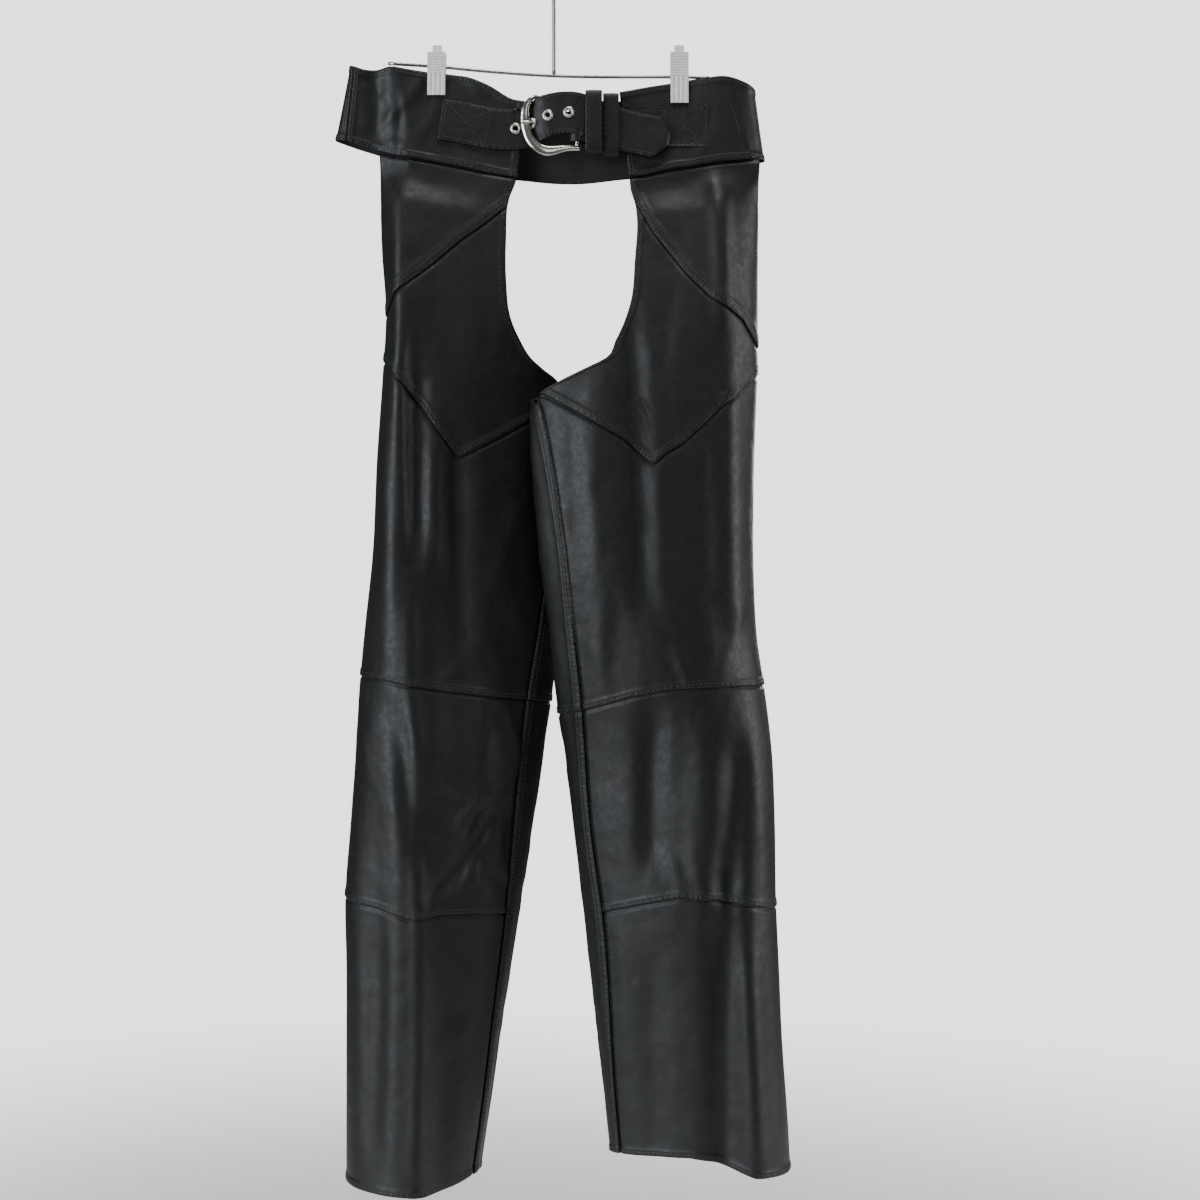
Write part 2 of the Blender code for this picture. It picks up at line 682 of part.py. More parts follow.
def box(name, low, high):
    bm = bmesh.new()
    bmesh.ops.create_cube(bm, size=1.0)
    for v in bm.verts:
        share = v.co + Vector((0.5, 0.5, 0.5))
        v.co = world(*[lerp(low[k], high[k], share[k]) for k in range(3)])
    return add_object(name, bm, NICKEL)


def billet_front(x):
    """Place and slope of the billet's front face at x."""
    route = on_yoke(BILLET_ROUTE)
    lifts = Curve(column(route, 0), column(route, 1))
    slope = (lifts.at(x + 2) - lifts.at(x - 2)) / 4
    return lifts.at(x) - STRAP_THICKNESS / 2 * math.sqrt(1 + slope ** 2), math.atan(slope)


def cut_round(made, name, x, drop, radius):
    y, angle = billet_front(x)
    bm = bmesh.new()
    size = radius * MM
    bmesh.ops.create_cone(bm, cap_ends=True, segments=14, radius1=size, radius2=size, depth=CUTTER_LENGTH * MM)
    tilt(bm, angle)
    bmesh.ops.translate(bm, verts=bm.verts, vec=world(x, y, drop))
    cut(made, add_object(name, bm, NICKEL))


def tilt(bm, angle):
    """Turn a piece made round Z so that its top faces the front, following the strap's slope."""
    bmesh.ops.rotate(bm, verts=bm.verts, matrix=Matrix.Rotation(math.radians(90), 3, "X"))
    bmesh.ops.rotate(bm, verts=bm.verts, matrix=Matrix.Rotation(angle, 3, "Z"))


def spin_round(bm, profile, segments):
    """Turn a closed profile into a ring round Z."""
    bmesh.ops.spin(bm, geom=profile, angle=math.tau, steps=segments, axis=(0, 0, 1), use_merge=True)
    bmesh.ops.remove_doubles(bm, verts=bm.verts, dist=MERGE_DISTANCE)


def build_eyelet(number, x, drop, stand_off):
    y, angle = billet_front(x)
    rim = stand_off + EYELET_RIM
    crest = EYELET_FLANGE - EYELET_CHAMFER
    profile = ((EYELET_HOLE, -stand_off), (EYELET_FLANGE, -stand_off), (crest, -rim), (EYELET_HOLE, -rim))
    bm = bmesh.new()
    verts = [bm.verts.new((radius * MM, 0, -depth * MM)) for radius, depth in profile]
    edges = [bm.edges.new((a, b)) for a, b in zip(verts, verts[1:] + verts[:1])]
    spin_round(bm, verts + edges, EYELET_SEGMENTS)
    tilt(bm, angle)
    bmesh.ops.translate(bm, verts=bm.verts, vec=world(x, y, drop))
    return add_object("eyelet_%d" % number, bm, NICKEL)


def build_keeper(keeper):
    """Loop of leather round the straps: a flat ring with rounded ends."""
    middle = yoke_front(keeper.x, keeper.drop) - (keeper.back + keeper.front) / 2
    half_depth = (keeper.front - keeper.back) / 2
    bm = bmesh.new()
    rings = []
    for inset, edge in ((0, -0.5), (0, 0.5), (KEEPER_WALL, 0.5), (KEEPER_WALL, -0.5)):
        ring = []
        for k in range(KEEPER_POINTS):
            angle = math.tau * k / KEEPER_POINTS
            up = squared(math.sin(angle), KEEPER_END_ROUNDING) * (keeper.half_height - inset)
            out = squared(math.cos(angle), KEEPER_FACE_ROUNDING) * (half_depth - inset)
            ring.append(bm.verts.new(world(keeper.x + edge * keeper.width, middle + out, keeper.drop + up)))
        rings.append(ring)
    join_rings(bm, rings + rings[:1])
    return add_object(keeper.name, bm, LEATHER)


def squared(value, rounding):
    """Sine or cosine pushed towards 1, so that a ring's sides come out flatter."""
    return math.copysign(abs(value) ** rounding, value)


def join_rings(bm, rings):
    for first, second in zip(rings, rings[1:]):
        for k in range(len(first)):
            after = (k + 1) % len(first)
            bm.faces.new((first[k], first[after], second[after], second[k]))


# Buckle

def build_buckle():
    curves = route_curves(FRAME_ROUTE)
    last = len(FRAME_ROUTE) - 1
    bm = bmesh.new()
    rings = []
    for step in range(FRAME_STEPS + 1):
        at = last * step / FRAME_STEPS
        x, y, drop, half_width = [curve.at(at) for curve in curves]
        run = Vector((curves[0].at(at + 0.1) - curves[0].at(at - 0.1), 0,
                      curves[2].at(at + 0.1) - curves[2].at(at - 0.1))).normalized()
        across = Vector((run.z, 0, -run.x))
        ring = []
        for k in range(FRAME_SIDES):
            angle = math.tau * (k + 0.5) / FRAME_SIDES
            offset = across * math.cos(angle) * half_width
            offset.y = math.sin(angle) * FRAME_HALF_DEPTH
            ring.append(bm.verts.new(world(x + offset.x, y + offset.y, drop + offset.z)))
        rings.append(ring)
    join_rings(bm, rings)
    bm.faces.new(rings[0])
    bm.faces.new(rings[-1])
    frame = add_object("buckle_frame", bm, NICKEL)
    x, y, top, low = HEEL_BAR
    bar = tube("heel_bar", ((x, y, top), (x, y, low)), HEEL_BAR_RADIUS, NICKEL)
    bar.hide_render = True
    bar.display_type = "WIRE"
    union = frame.modifiers.new("heel_bar", "BOOLEAN")
    union.operation = "UNION"
    union.solver = "EXACT"
    union.object = bar
    tube("buckle_prong", smooth_route(PRONG_ROUTE, 3), PRONG_RADIUS, NICKEL)


def smooth_route(route, parts):
    """The route with more points, read from a smooth curve through its own."""
    curves = route_curves(route)
    count = (len(route) - 1) * parts
    return [[curve.at(k / parts) for curve in curves] for k in range(count + 1)]


def tube(name, route, radius, kind):
    """Round rod along a route of x, y and drop, closed at both ends."""
    bm = bmesh.new()
    points = [world(*row) for row in route]
    rings = []
    side = None
    for k, point in enumerate(points):
        run = (points[min(k + 1, len(points) - 1)] - points[max(k - 1, 0)]).normalized()
        if side is None:
            side = run.orthogonal().normalized()
        side = (side - run * side.dot(run)).normalized()
        other = run.cross(side)
        ring = []
        for n in range(ROD_SIDES):
            angle = math.tau * n / ROD_SIDES
            offset = side * math.cos(angle) + other * math.sin(angle)
            ring.append(bm.verts.new(point + offset * radius * MM))
        rings.append(ring)
    join_rings(bm, rings)
    bm.faces.new(rings[0])
    bm.faces.new(rings[-1])
    return add_object(name, bm, kind)


# Hanger

def build_jaw(name, rows, x, facing):
    """Jaw plate of a clip, from rows of drop, distance of its inner face and half width."""
    bm = bmesh.new()
    rings = []
    for drop, face, half in rows:
        ring = []
        for side, depth in ((-1, 0), (1, 0), (1, JAW_THICKNESS), (-1, JAW_THICKNESS)):
            ring.append(bm.verts.new(world(x + side * half, facing * (face + depth), drop)))
        rings.append(ring)
    join_rings(bm, rings)
    bm.faces.new(rings[0])
    bm.faces.new(rings[-1])
    return add_object(name, bm, CLIP_PLASTIC)


def build_sleeve(name, x):
    """Sleeve that carries the two jaws on the bar."""
    bar = Curve(column(BAR_ROUTE, 0), column(BAR_ROUTE, 1))
    low = bar.at(x - 1)
    high = bar.at(x + 1)
    bore = BAR_RADIUS + SLEEVE_PLAY
    bm = bmesh.new()
    corners = ((bore, -0.5), (SLEEVE_RADIUS, -0.5), (SLEEVE_RADIUS, 0.5), (bore, 0.5))
    verts = [bm.verts.new((radius * MM, 0, end * SLEEVE_LENGTH * MM)) for radius, end in corners]
    edges = [bm.edges.new((a, b)) for a, b in zip(verts, verts[1:] + verts[:1])]
    spin_round(bm, verts + edges, SLEEVE_SEGMENTS)
    slope = math.atan((high - low) / 2)
    bmesh.ops.rotate(bm, verts=bm.verts, matrix=Matrix.Rotation(math.radians(90) + slope, 3, "Y"))
    bmesh.ops.translate(bm, verts=bm.verts, vec=world(x, 0, bar.at(x)))
    return add_object(name, bm, CLIP_PLASTIC)


def build_hanger():
    bar = [(x, 0, drop) for x, drop in smooth_route(BAR_ROUTE, 3)]
    tube("hanger_bar", bar, BAR_RADIUS, WIRE)
    stem = [(x, 0, drop) for x, drop in STEM_ROUTE]
    reach = HOOK_RADIUS + HOOK_WIRE_RADIUS
    arc = []
    for step in range(HOOK_STEPS):
        angle = math.radians(lerp(*HOOK_ARC, step / (HOOK_STEPS - 1)))
        arc.append((reach * math.cos(angle), 0, HOOK_RADIUS - reach * math.sin(angle)))
    tube("hanger_hook", smooth_route(stem + arc, 2), HOOK_WIRE_RADIUS, WIRE)
    jaws = (("front", FRONT_JAW, FRONT_GRIP, -1), ("back", BACK_JAW, BACK_GRIP, 1))
    for clip in CLIPS:
        for name, rows, grip, facing in jaws:
            half = rows[-1].half_width
            grip_rows = [(clip.edge, grip[0], half), (clip.foot, grip[1], half)]
            build_jaw(clip.side + "_clip_" + name + "_jaw", rows + grip_rows, clip.x, facing)
        build_sleeve(clip.side + "_clip_sleeve", clip.x)


def main():
    clear_scene()
    right = Leg(RIGHT_SECTIONS, RIGHT_FOLDS, RIGHT_FRONT_EDGE, RIGHT_BACK_EDGE, True)
    left = Leg(LEFT_SECTIONS, LEFT_FOLDS, LEFT_FRONT_EDGE, LEFT_BACK_EDGE, False)
    build_leg("right", right, RIGHT_HIP_SEAM, RIGHT_VEE_SEAM, RIGHT_KNEE_SEAM, RIGHT_CALF_SEAM, RIGHT_HEM)
    build_leg("left", left, LEFT_HIP_SEAM, LEFT_VEE_SEAM, LEFT_KNEE_SEAM, LEFT_CALF_SEAM, LEFT_HEM)
    build_yoke("right_front_yoke", 0, RIGHT_SIDE_STATION, 16)
    build_yoke("back_yoke", RIGHT_SIDE_STATION, LEFT_SIDE_STATION, 32)
    build_yoke("left_front_yoke", LEFT_SIDE_STATION, len(WAIST) - 1, 9)
    build_belt()
    build_buckle()
    build_hanger()


main()
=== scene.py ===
# %% [markdown]
# These are black leather motorcycle chaps with the belt fastened, hung by the waist from two
# clips on a wire hanger. Chaps are two separate legs joined only by a waist band, so the front
# and the seat stay open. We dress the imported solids: every cut piece of hide becomes a thin
# sheet on the same form, with its seams, topstitching, folds and grain.

# %% Load the frame
import math

import bmesh
import bpy
import numpy as np
from mathutils import Matrix, Vector


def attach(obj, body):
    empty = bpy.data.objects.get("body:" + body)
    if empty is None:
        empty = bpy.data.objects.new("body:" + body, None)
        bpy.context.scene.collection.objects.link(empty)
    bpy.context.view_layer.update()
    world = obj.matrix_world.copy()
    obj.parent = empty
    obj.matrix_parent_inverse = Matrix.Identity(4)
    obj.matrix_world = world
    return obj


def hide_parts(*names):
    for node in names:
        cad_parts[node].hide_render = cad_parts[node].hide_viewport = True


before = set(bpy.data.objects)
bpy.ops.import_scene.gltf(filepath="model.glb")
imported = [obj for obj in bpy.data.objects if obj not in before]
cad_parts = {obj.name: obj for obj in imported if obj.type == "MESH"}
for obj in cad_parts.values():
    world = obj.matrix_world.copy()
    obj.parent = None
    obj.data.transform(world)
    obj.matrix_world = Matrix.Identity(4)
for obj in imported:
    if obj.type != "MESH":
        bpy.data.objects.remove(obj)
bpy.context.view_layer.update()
MM = 0.001

# %% [markdown]
# The camera comes first, because everything is judged through it. The photograph was taken
# straight on, from about two metres, at the height of the middle of the garment. Sizes are
# in millimetres, measured from the inside top of the hook: x to the wearer's left, drop down.

# %% Camera
MM_PER_PIXEL = 0.965
PICTURE = 1200
CAMERA_AWAY = 2000.0
CAMERA_X = 44.39
CAMERA_DROP = 655.7
SENSOR = 36.0

camera_data = bpy.data.cameras.new("camera")
camera_data.sensor_width = SENSOR
camera_data.lens = SENSOR * CAMERA_AWAY / (PICTURE * MM_PER_PIXEL)
camera_data.clip_end = 100
camera = bpy.data.objects.new("camera", camera_data)
camera.location = Vector((CAMERA_X, -CAMERA_AWAY, -CAMERA_DROP)) * MM
camera.rotation_euler = (math.radians(90), 0, 0)
bpy.context.scene.collection.objects.link(camera)
bpy.context.scene.camera = camera
print("lens:", round(camera_data.lens, 2), "mm")

# %% [markdown]
# Every colour is written as a hex value, as a paint chart gives it, and turned into the linear
# light that the renderer works with. Small functions add a node with its settings and links, so
# each finish below reads as a recipe of noise, sums and relief, with its pattern in millimetres.

# %% Helpers for materials
def linear(hex_colour):
    values = [int(hex_colour[i:i + 2], 16) / 255 for i in (1, 3, 5)]
    return [v / 12.92 if v <= 0.04045 else ((v + 0.055) / 1.055) ** 2.4 for v in values] + [1.0]


def add_node(tree, kind, settings=None, values=None, links=None):
    """Add a node; settings are its properties, values its socket values, links its inputs."""
    made = tree.nodes.new(kind)
    for name, value in (settings or {}).items():
        setattr(made, name, value)
    for name, value in (values or {}).items():
        made.inputs[name].default_value = value
    for name, source in (links or {}).items():
        tree.links.new(source, made.inputs[name])
    return made


def new_material(name, values):
    """A material and its tree, with the values set on the shader's own sockets."""
    made = bpy.data.materials.new(name)
    made.use_nodes = True
    shader = made.node_tree.nodes["Principled BSDF"]
    for socket, value in values.items():
        shader.inputs[socket].default_value = value
    return made, made.node_tree, shader


def ramp(tree, source, stops):
    """Colour ramp from a value, with stops of place and colour."""
    made = add_node(tree, "ShaderNodeValToRGB", links={"Fac": source})
    band = made.color_ramp
    while len(band.elements) < len(stops):
        band.elements.new(0.5)
    for element, (place, colour) in zip(band.elements, stops):
        element.position = place
        element.color = colour
    return made.outputs["Color"]


def mm_noise(tree, where, size, detail, roughness=0.5):
    """Noise with patches of a given size in millimetres."""
    values = {"Scale": 1 / (size * MM), "Detail": detail, "Roughness": roughness}
    return add_node(tree, "ShaderNodeTexNoise", values=values, links={"Vector": where}).outputs["Fac"]


def spread(tree, noise, low, high):
    """Turn the middle values of a noise into a range from low to high."""
    values = {"From Min": 0.3, "From Max": 0.7, "To Min": low, "To Max": high}
    return add_node(tree, "ShaderNodeMapRange", values=values, links={"Value": noise}).outputs[0]


def calculate(tree, operation, *terms):
    """Math node; each term is a link or a plain number."""
    made = add_node(tree, "ShaderNodeMath", {"operation": operation})
    for slot, term in zip(made.inputs, terms):
        if isinstance(term, float):
            slot.default_value = term
        else:
            tree.links.new(term, slot)
    return made.outputs[0]


def relief(tree, height, strength, depth, below=None):
    """Bump of a given depth in millimetres, laid over the one below it."""
    links = {"Height": height}
    if below is not None:
        links["Normal"] = below
    values = {"Strength": strength, "Distance": depth * MM}
    return add_node(tree, "ShaderNodeBump", values=values, links=links).outputs[0]


print("black dye in linear light:", [round(v, 4) for v in linear("#0d0f0e")])

# %% [markdown]
# The hide is top grain cow leather, drum dyed black and finished with a thin satin coat. The
# coat gives broad soft highlights, the dye is a little uneven, browner in its dark clouds and
# cooler in the light ones, and the grain is a net of cells about a millimetre wide. Beside each
# seam the thread draws the leather into small ribs, about a stitch and a half apart, which the
# seam values of the vertices place. A bump is enough for all of these, because they never show
# in the outline.

# %% Leather
GRAIN_CELL = 1.3
GRAIN_FURROW = 0.22
PORE_PATCH = 5.0
HIDE_WAVE = 24.0
DYE_CLOUD = 45.4545
STITCH_PITCH = 3.9
PUCKER_PITCH = 5.6
PUCKER_DRIFT = 14.0
PUCKER_REACH = (1.0, 7.5)

leather, tree, shader = new_material("finished_cow_hide", {"IOR": 1.5, "Specular IOR Level": 0.5})
where = add_node(tree, "ShaderNodeTexCoord").outputs["Object"]
cells = add_node(tree, "ShaderNodeTexVoronoi", {"feature": "DISTANCE_TO_EDGE"},
                 {"Scale": 1 / (GRAIN_CELL * MM), "Randomness": 1.0}, {"Vector": where}).outputs["Distance"]
patches = mm_noise(tree, where, PORE_PATCH, 4.0)
clouds = mm_noise(tree, where, DYE_CLOUD, 3.0, 0.6)
waves = mm_noise(tree, where, HIDE_WAVE, 1.0)
along = add_node(tree, "ShaderNodeAttribute", {"attribute_name": "seam_run"}).outputs["Fac"]
away = add_node(tree, "ShaderNodeAttribute", {"attribute_name": "seam_away"}).outputs["Fac"]
near = add_node(tree, "ShaderNodeMapRange", {"interpolation_type": "SMOOTHSTEP"},
                {"From Min": PUCKER_REACH[0], "From Max": PUCKER_REACH[1], "To Min": 1.0, "To Max": 0.0},
                {"Value": away}).outputs[0]

# The furrows between the cells are all equally deep, so only their network shows.
grain = calculate(tree, "MINIMUM", cells, GRAIN_FURROW)
# The ribs are a sine along the seam, with a phase that drifts so that no two are alike.
wave = calculate(tree, "MULTIPLY", along, math.tau / PUCKER_PITCH)
drift = calculate(tree, "MULTIPLY_ADD", patches, PUCKER_DRIFT, wave)
ribs = calculate(tree, "MULTIPLY", calculate(tree, "SINE", drift), near)
puckers = calculate(tree, "MULTIPLY", ribs, clouds)
normal = relief(tree, grain, 0.35, 0.25)
normal = relief(tree, patches, 0.3, 0.35, normal)
normal = relief(tree, puckers, 0.45, 0.6, normal)
normal = relief(tree, waves, 0.6, 2.4, normal)
tree.links.new(normal, shader.inputs["Normal"])
dye = ramp(tree, clouds, ((0.3, linear("#0c0a0a")), (0.55, linear("#0d0f0e")), (0.75, linear("#121615"))))
tree.links.new(dye, shader.inputs["Base Color"])
tree.links.new(spread(tree, patches, 0.46, 0.58), shader.inputs["Roughness"])
print("leather made, grain", GRAIN_CELL, "mm")

# %% [markdown]
# The other finishes are plain: a black nylon lining inside the legs, bonded polyester thread,
# polished nickel on the buckle, stamped nickel on the eyelets, off-white moulded plastic on the
# clips and drawn steel wire for the hanger.

# %% Lining, thread, metal, plastic and wire
def speckled(name, values, low, high, size, rough, depth):
    """Material with fine noise of a given size in millimetres in its colour, gloss and relief."""
    made, tree, shader = new_material(name, values)
    where = add_node(tree, "ShaderNodeTexCoord").outputs["Object"]
    noise = mm_noise(tree, where, size, 5.0)
    tint = ramp(tree, noise, ((0.35, linear(low)), (0.65, linear(high))))
    tree.links.new(tint, shader.inputs["Base Color"])
    tree.links.new(spread(tree, noise, *rough), shader.inputs["Roughness"])
    tree.links.new(relief(tree, noise, 0.4, depth), shader.inputs["Normal"])
    return made


# Brushed nylon swallows the light, so the inside of a leg reads as a dark hollow.
lining = speckled("nylon_lining", {"IOR": 1.53, "Sheen Weight": 0.2}, "#0f0f10", "#17171a", 0.8,
                  (0.6, 0.75), 0.15)
# Bonded thread is a shade lighter than the hide and as soft in its gloss, so the rows read quietly.
thread = speckled("bonded_thread", {"IOR": 1.5}, "#262827", "#3f4241", 0.5, (0.45, 0.6), 0.05)
# Polished nickel mirrors the lights and the dark hide beside each other, which draws the bow's edge.
nickel = speckled("polished_nickel", {"Metallic": 1.0}, "#dcd8d0", "#e6e3dc", 9.0, (0.2, 0.24), 0.005)
# Stamped nickel is rougher, so a small ring shows one soft highlight and no broken glints.
eyelet_nickel = speckled("stamped_nickel", {"Metallic": 1.0}, "#dcd8d0", "#e6e3dc", 4.0, (0.36, 0.42), 0.01)
# Moulded plastic is bright all over with a broad satin highlight, the lightest thing on the object.
plastic = speckled("moulded_clip_plastic", {"IOR": 1.49, "Coat Weight": 0.1}, "#ecece4", "#f6f6f0", 6.0,
                   (0.32, 0.42), 0.05)
# Drawn wire is dimmer than the nickel, and a slight roughness draws its highlight out along the rod.
steel_wire = speckled("drawn_steel_wire", {"Metallic": 1.0}, "#a9a8a5", "#c4c3bf", 1.5, (0.25, 0.38), 0.02)
print("six more finishes")

# %% [markdown]
# The legs are lofted through a short table of sections. Each row says where the two edges of
# the leg lie as seen from the front, how deep it is before and behind its middle, where the
# ridge runs down the front, and how far back each edge lies. A smooth curve through every
# column gives the leg between the rows.

# %% Sections of the legs: drop, outer, inner, front, back, ridge, mid_out, mid_in
RIGHT_SECTIONS = (
    (215, -169, -6, 10, 10, 0.30, 2, 0),
    (260, -168, -6, 24, 18, 0.25, 2, 2),
    (320, -166, -5, 36, 28, 0.20, 2, 4),
    (380, -162, -1, 44, 36, 0.16, 2, 9),
    (440, -165, 9, 50, 42, 0.13, 2, 17),
    (500, -169, 9, 54, 46, 0.12, 2, 20),
    (560, -173, 6, 58, 50, 0.13, 2, 21),
    (620, -177, 4, 60, 52, 0.16, 2, 18),
    (680, -183, 2, 62, 54, 0.22, 2, 13),
    (740, -188, -1, 62, 54, 0.28, 2, 7),
    (800, -191, -10, 62, 54, 0.34, 0, 0),
    (870, -196, -20, 62, 54, 0.38, 0, 0),
    (940, -201, -31, 62, 54, 0.42, 0, 0),
    (1010, -200, -42, 62, 54, 0.45, 0, 0),
    (1080, -200, -53, 63, 54, 0.48, 0, 0),
    (1150, -200, -63, 66, 54, 0.52, 0, 0),
    (1225, -200, -75, 70, 54, 0.55, 0, 0),
)
LEFT_SECTIONS = (
    (215, 199, 50, 10, 10, 0.35, 2, 0),
    (260, 198, 49, 24, 18, 0.40, 2, 0),
    (320, 197, 40, 36, 28, 0.40, 2, -5),
    (380, 196, 15, 46, 36, 0.40, 2, -13),
    (440, 193, -17, 52, 42, 0.40, 2, -20),
    (500, 190, -22, 56, 46, 0.40, 2, -20),
    (560, 188, -18, 58, 50, 0.40, 2, -21),
    (620, 188, -13, 60, 52, 0.40, 2, -19),
    (680, 194, -5, 60, 54, 0.40, 2, -14),
    (740, 203, 1, 60, 54, 0.38, 2, -8),
    (800, 210, 10, 60, 54, 0.36, 0, 0),
    (870, 213, 19, 60, 54, 0.34, 0, 0),
    (940, 214, 27, 58, 54, 0.32, 0, 0),
    (1010, 217, 35, 56, 54, 0.30, 0, 0),
    (1080, 220, 43, 55, 54, 0.28, 0, 0),
    (1150, 225, 51, 54, 54, 0.26, 0, 0),
    (1225, 229, 59, 52, 54, 0.25, 0, 0),
)
print("sections:", len(RIGHT_SECTIONS), "and", len(LEFT_SECTIONS))

# %% [markdown]
# The tables of sections, edges and routes are read as smooth curves. The slope at each row comes
# from its two neighbours, so the curve passes through all rows without a kink. Whole arrays of
# places are read in one go.

# %% Smooth curves through a table
def lerp(a, b, t):
    return a + (b - a) * t


def ease(t):
    t = np.clip(t, 0.0, 1.0)
    return t * t * (3 - 2 * t)


def smooth(keys, values, at):
    """Smooth curve through values at keys, read at many places at once, held at both ends."""
    keys = np.asarray(keys, float)
    values = np.asarray(values, float)
    slopes = np.gradient(values, keys)
    at = np.clip(at, keys[0], keys[-1])
    i = np.clip(np.searchsorted(keys, at) - 1, 0, len(keys) - 2)
    h = keys[i + 1] - keys[i]
    t = (at - keys[i]) / h
    bend = (t ** 3 - 2 * t ** 2 + t) * h * slopes[i] + (t ** 3 - t ** 2) * h * slopes[i + 1]
    return lerp(values[i], values[i + 1], t * t * (3 - 2 * t)) + bend


def bump(distance, width):
    return np.exp(-(distance / width) ** 2)

print("halfway between 1 and 3 on a smooth curve:", round(float(smooth((0, 1, 2), (1, 3, 1), 0.5)), 3))

# %% [markdown]
# Leather that has hung for a while keeps soft folds. The largest ones are in the solids, as
# lines that rise or sink, and the same rows stand here so that the sheets follow them.

# %% Folds: top, top_x, low, low_x, width, depth
RIGHT_FOLDS = (
    (260, -147, 560, -141, 11, 4),
    (440, -131, 600, -128, 12, -5),
    (520, -114, 620, -110, 11, 3),
    (520, -92, 700, -88, 12, -7),
    (740, -62, 860, -66, 14, 6),
    (850, -58, 930, -108, 11, -7),
    (860, -40, 930, -52, 10, -5),
    (760, -150, 900, -120, 13, -5),
    (960, -166, 1160, -170, 14, -4),
    (980, -90, 1200, -104, 14, -4),
)
LEFT_FOLDS = (
    (250, 168, 400, 160, 13, 5),
    (400, 74, 640, 84, 14, -9),
    (450, 165, 660, 172, 12, 7),
    (480, 36, 720, 40, 12, 4),
    (760, 94, 900, 92, 14, -7),
    (800, 172, 930, 166, 13, -8),
    (920, 164, 1200, 162, 14, -9),
    (1000, 184, 1200, 194, 11, 6),
    (1010, 96, 1180, 98, 15, -4),
)
print("large folds:", len(RIGHT_FOLDS) + len(LEFT_FOLDS))

# %% [markdown]
# The finer creases follow the photograph: the long vertical falls, the star inside the right
# knee, the drapes under the hips and the gathers at the knee seams. A height field made of such
# lines is used rather than a simulation, because each crease then sits where the picture has
# it. The hidden back gets creases of the same kind.

# %% Creases of the legs: x, drop, other_x, other_drop, width, rise
RIGHT_CREASES = (
    (-147, 290, -142, 600, 7, 2.0),
    (-137, 650, -128, 800, 7, 2.4),
    (-127, 800, -126, 1200, 7, 2.6),
    (-130, 420, -122, 600, 12, -3.0),
    (-117, 640, -108, 800, 14, -3.6),
    (-107, 800, -104, 1200, 15, -3.6),
    (-168, 560, -168, 800, 14, -2.5),
    (-170, 820, -170, 1200, 15, -3.0),
    (-108, 240, -100, 420, 18, -3.5),
    (-56, 240, -46, 400, 16, 3.0),
    (-120, 545, -118, 640, 6, 1.4),
    (-100, 500, -104, 720, 8, -1.5),
    (-30, 560, -60, 650, 9, 1.0),
    (-55, 600, -28, 690, 8, 1.0),
    (-70, 690, -44, 727, 6, 1.2),
    (-88, 716, -104, 732, 5, 1.0),
    (-47, 760, -32, 812, 7, 2.8),
    (-36, 812, -60, 850, 7, 2.4),
    (-68, 842, -88, 872, 5, 2.4),
    (-76, 858, -106, 922, 6, 2.5),
    (-62, 864, -90, 928, 4, -2.2),
    (-66, 872, -64, 926, 5, -2.2),
    (-54, 876, -46, 926, 5, 2.2),
    (-84, 838, -108, 816, 6, 1.6),
    (-110, 880, -150, 850, 6, 1.0),
    (-80, 905, -60, 945, 5, 1.2),
    (-148, 740, -146, 930, 8, 1.0),
    (-150, 960, -154, 1180, 9, 1.0),
    (-186, 780, -170, 830, 7, 0.8),
    (-120, 970, -70, 1030, 9, 0.9),
    (-124, 1100, -84, 1060, 9, 0.8),
    (-182, 1000, -178, 1150, 8, 0.8),
    (-112, 260, -96, 372, 9, 0.9),
    (-70, 300, -60, 420, 9, -0.8),
    (-104, 300, -118, 420, 8, -0.8),
)
LEFT_CREASES = (
    (104, 340, 112, 680, 22, -6.0),
    (172, 340, 176, 660, 15, 4.0),
    (4, 450, 14, 680, 16, 3.0),
    (120, 730, 118, 920, 18, -3.5),
    (156, 240, 158, 380, 8, 2.6),
    (122, 240, 122, 400, 17, -3.0),
    (190, 400, 192, 660, 10, 3.0),
    (150, 240, 152, 330, 9, 1.4),
    (172, 260, 178, 380, 7, -1.2),
    (120, 330, 118, 470, 9, 1.0),
    (100, 640, 128, 733, 6, 1.2),
    (112, 700, 130, 734, 5, 1.4),
    (150, 690, 142, 734, 5, 1.2),
    (176, 660, 158, 734, 6, 1.0),
    (52, 620, 46, 750, 7, 1.0),
    (96, 770, 96, 900, 8, -1.2),
    (128, 880, 142, 936, 6, 1.2),
    (112, 900, 120, 936, 5, 1.2),
    (160, 880, 154, 936, 6, -1.0),
    (78, 1018, 90, 1024, 4, 1.0),
    (150, 960, 152, 1150, 8, -1.4),
    (188, 960, 196, 1160, 8, 1.0),
    (110, 980, 112, 1180, 9, 0.9),
    (62, 960, 70, 1080, 8, 0.8),
    (140, 450, 146, 620, 9, 1.0),
    (28, 480, 32, 560, 6, 1.2),
    (10, 560, 24, 640, 8, 0.9),
    (186, 760, 196, 900, 8, 0.9),
)
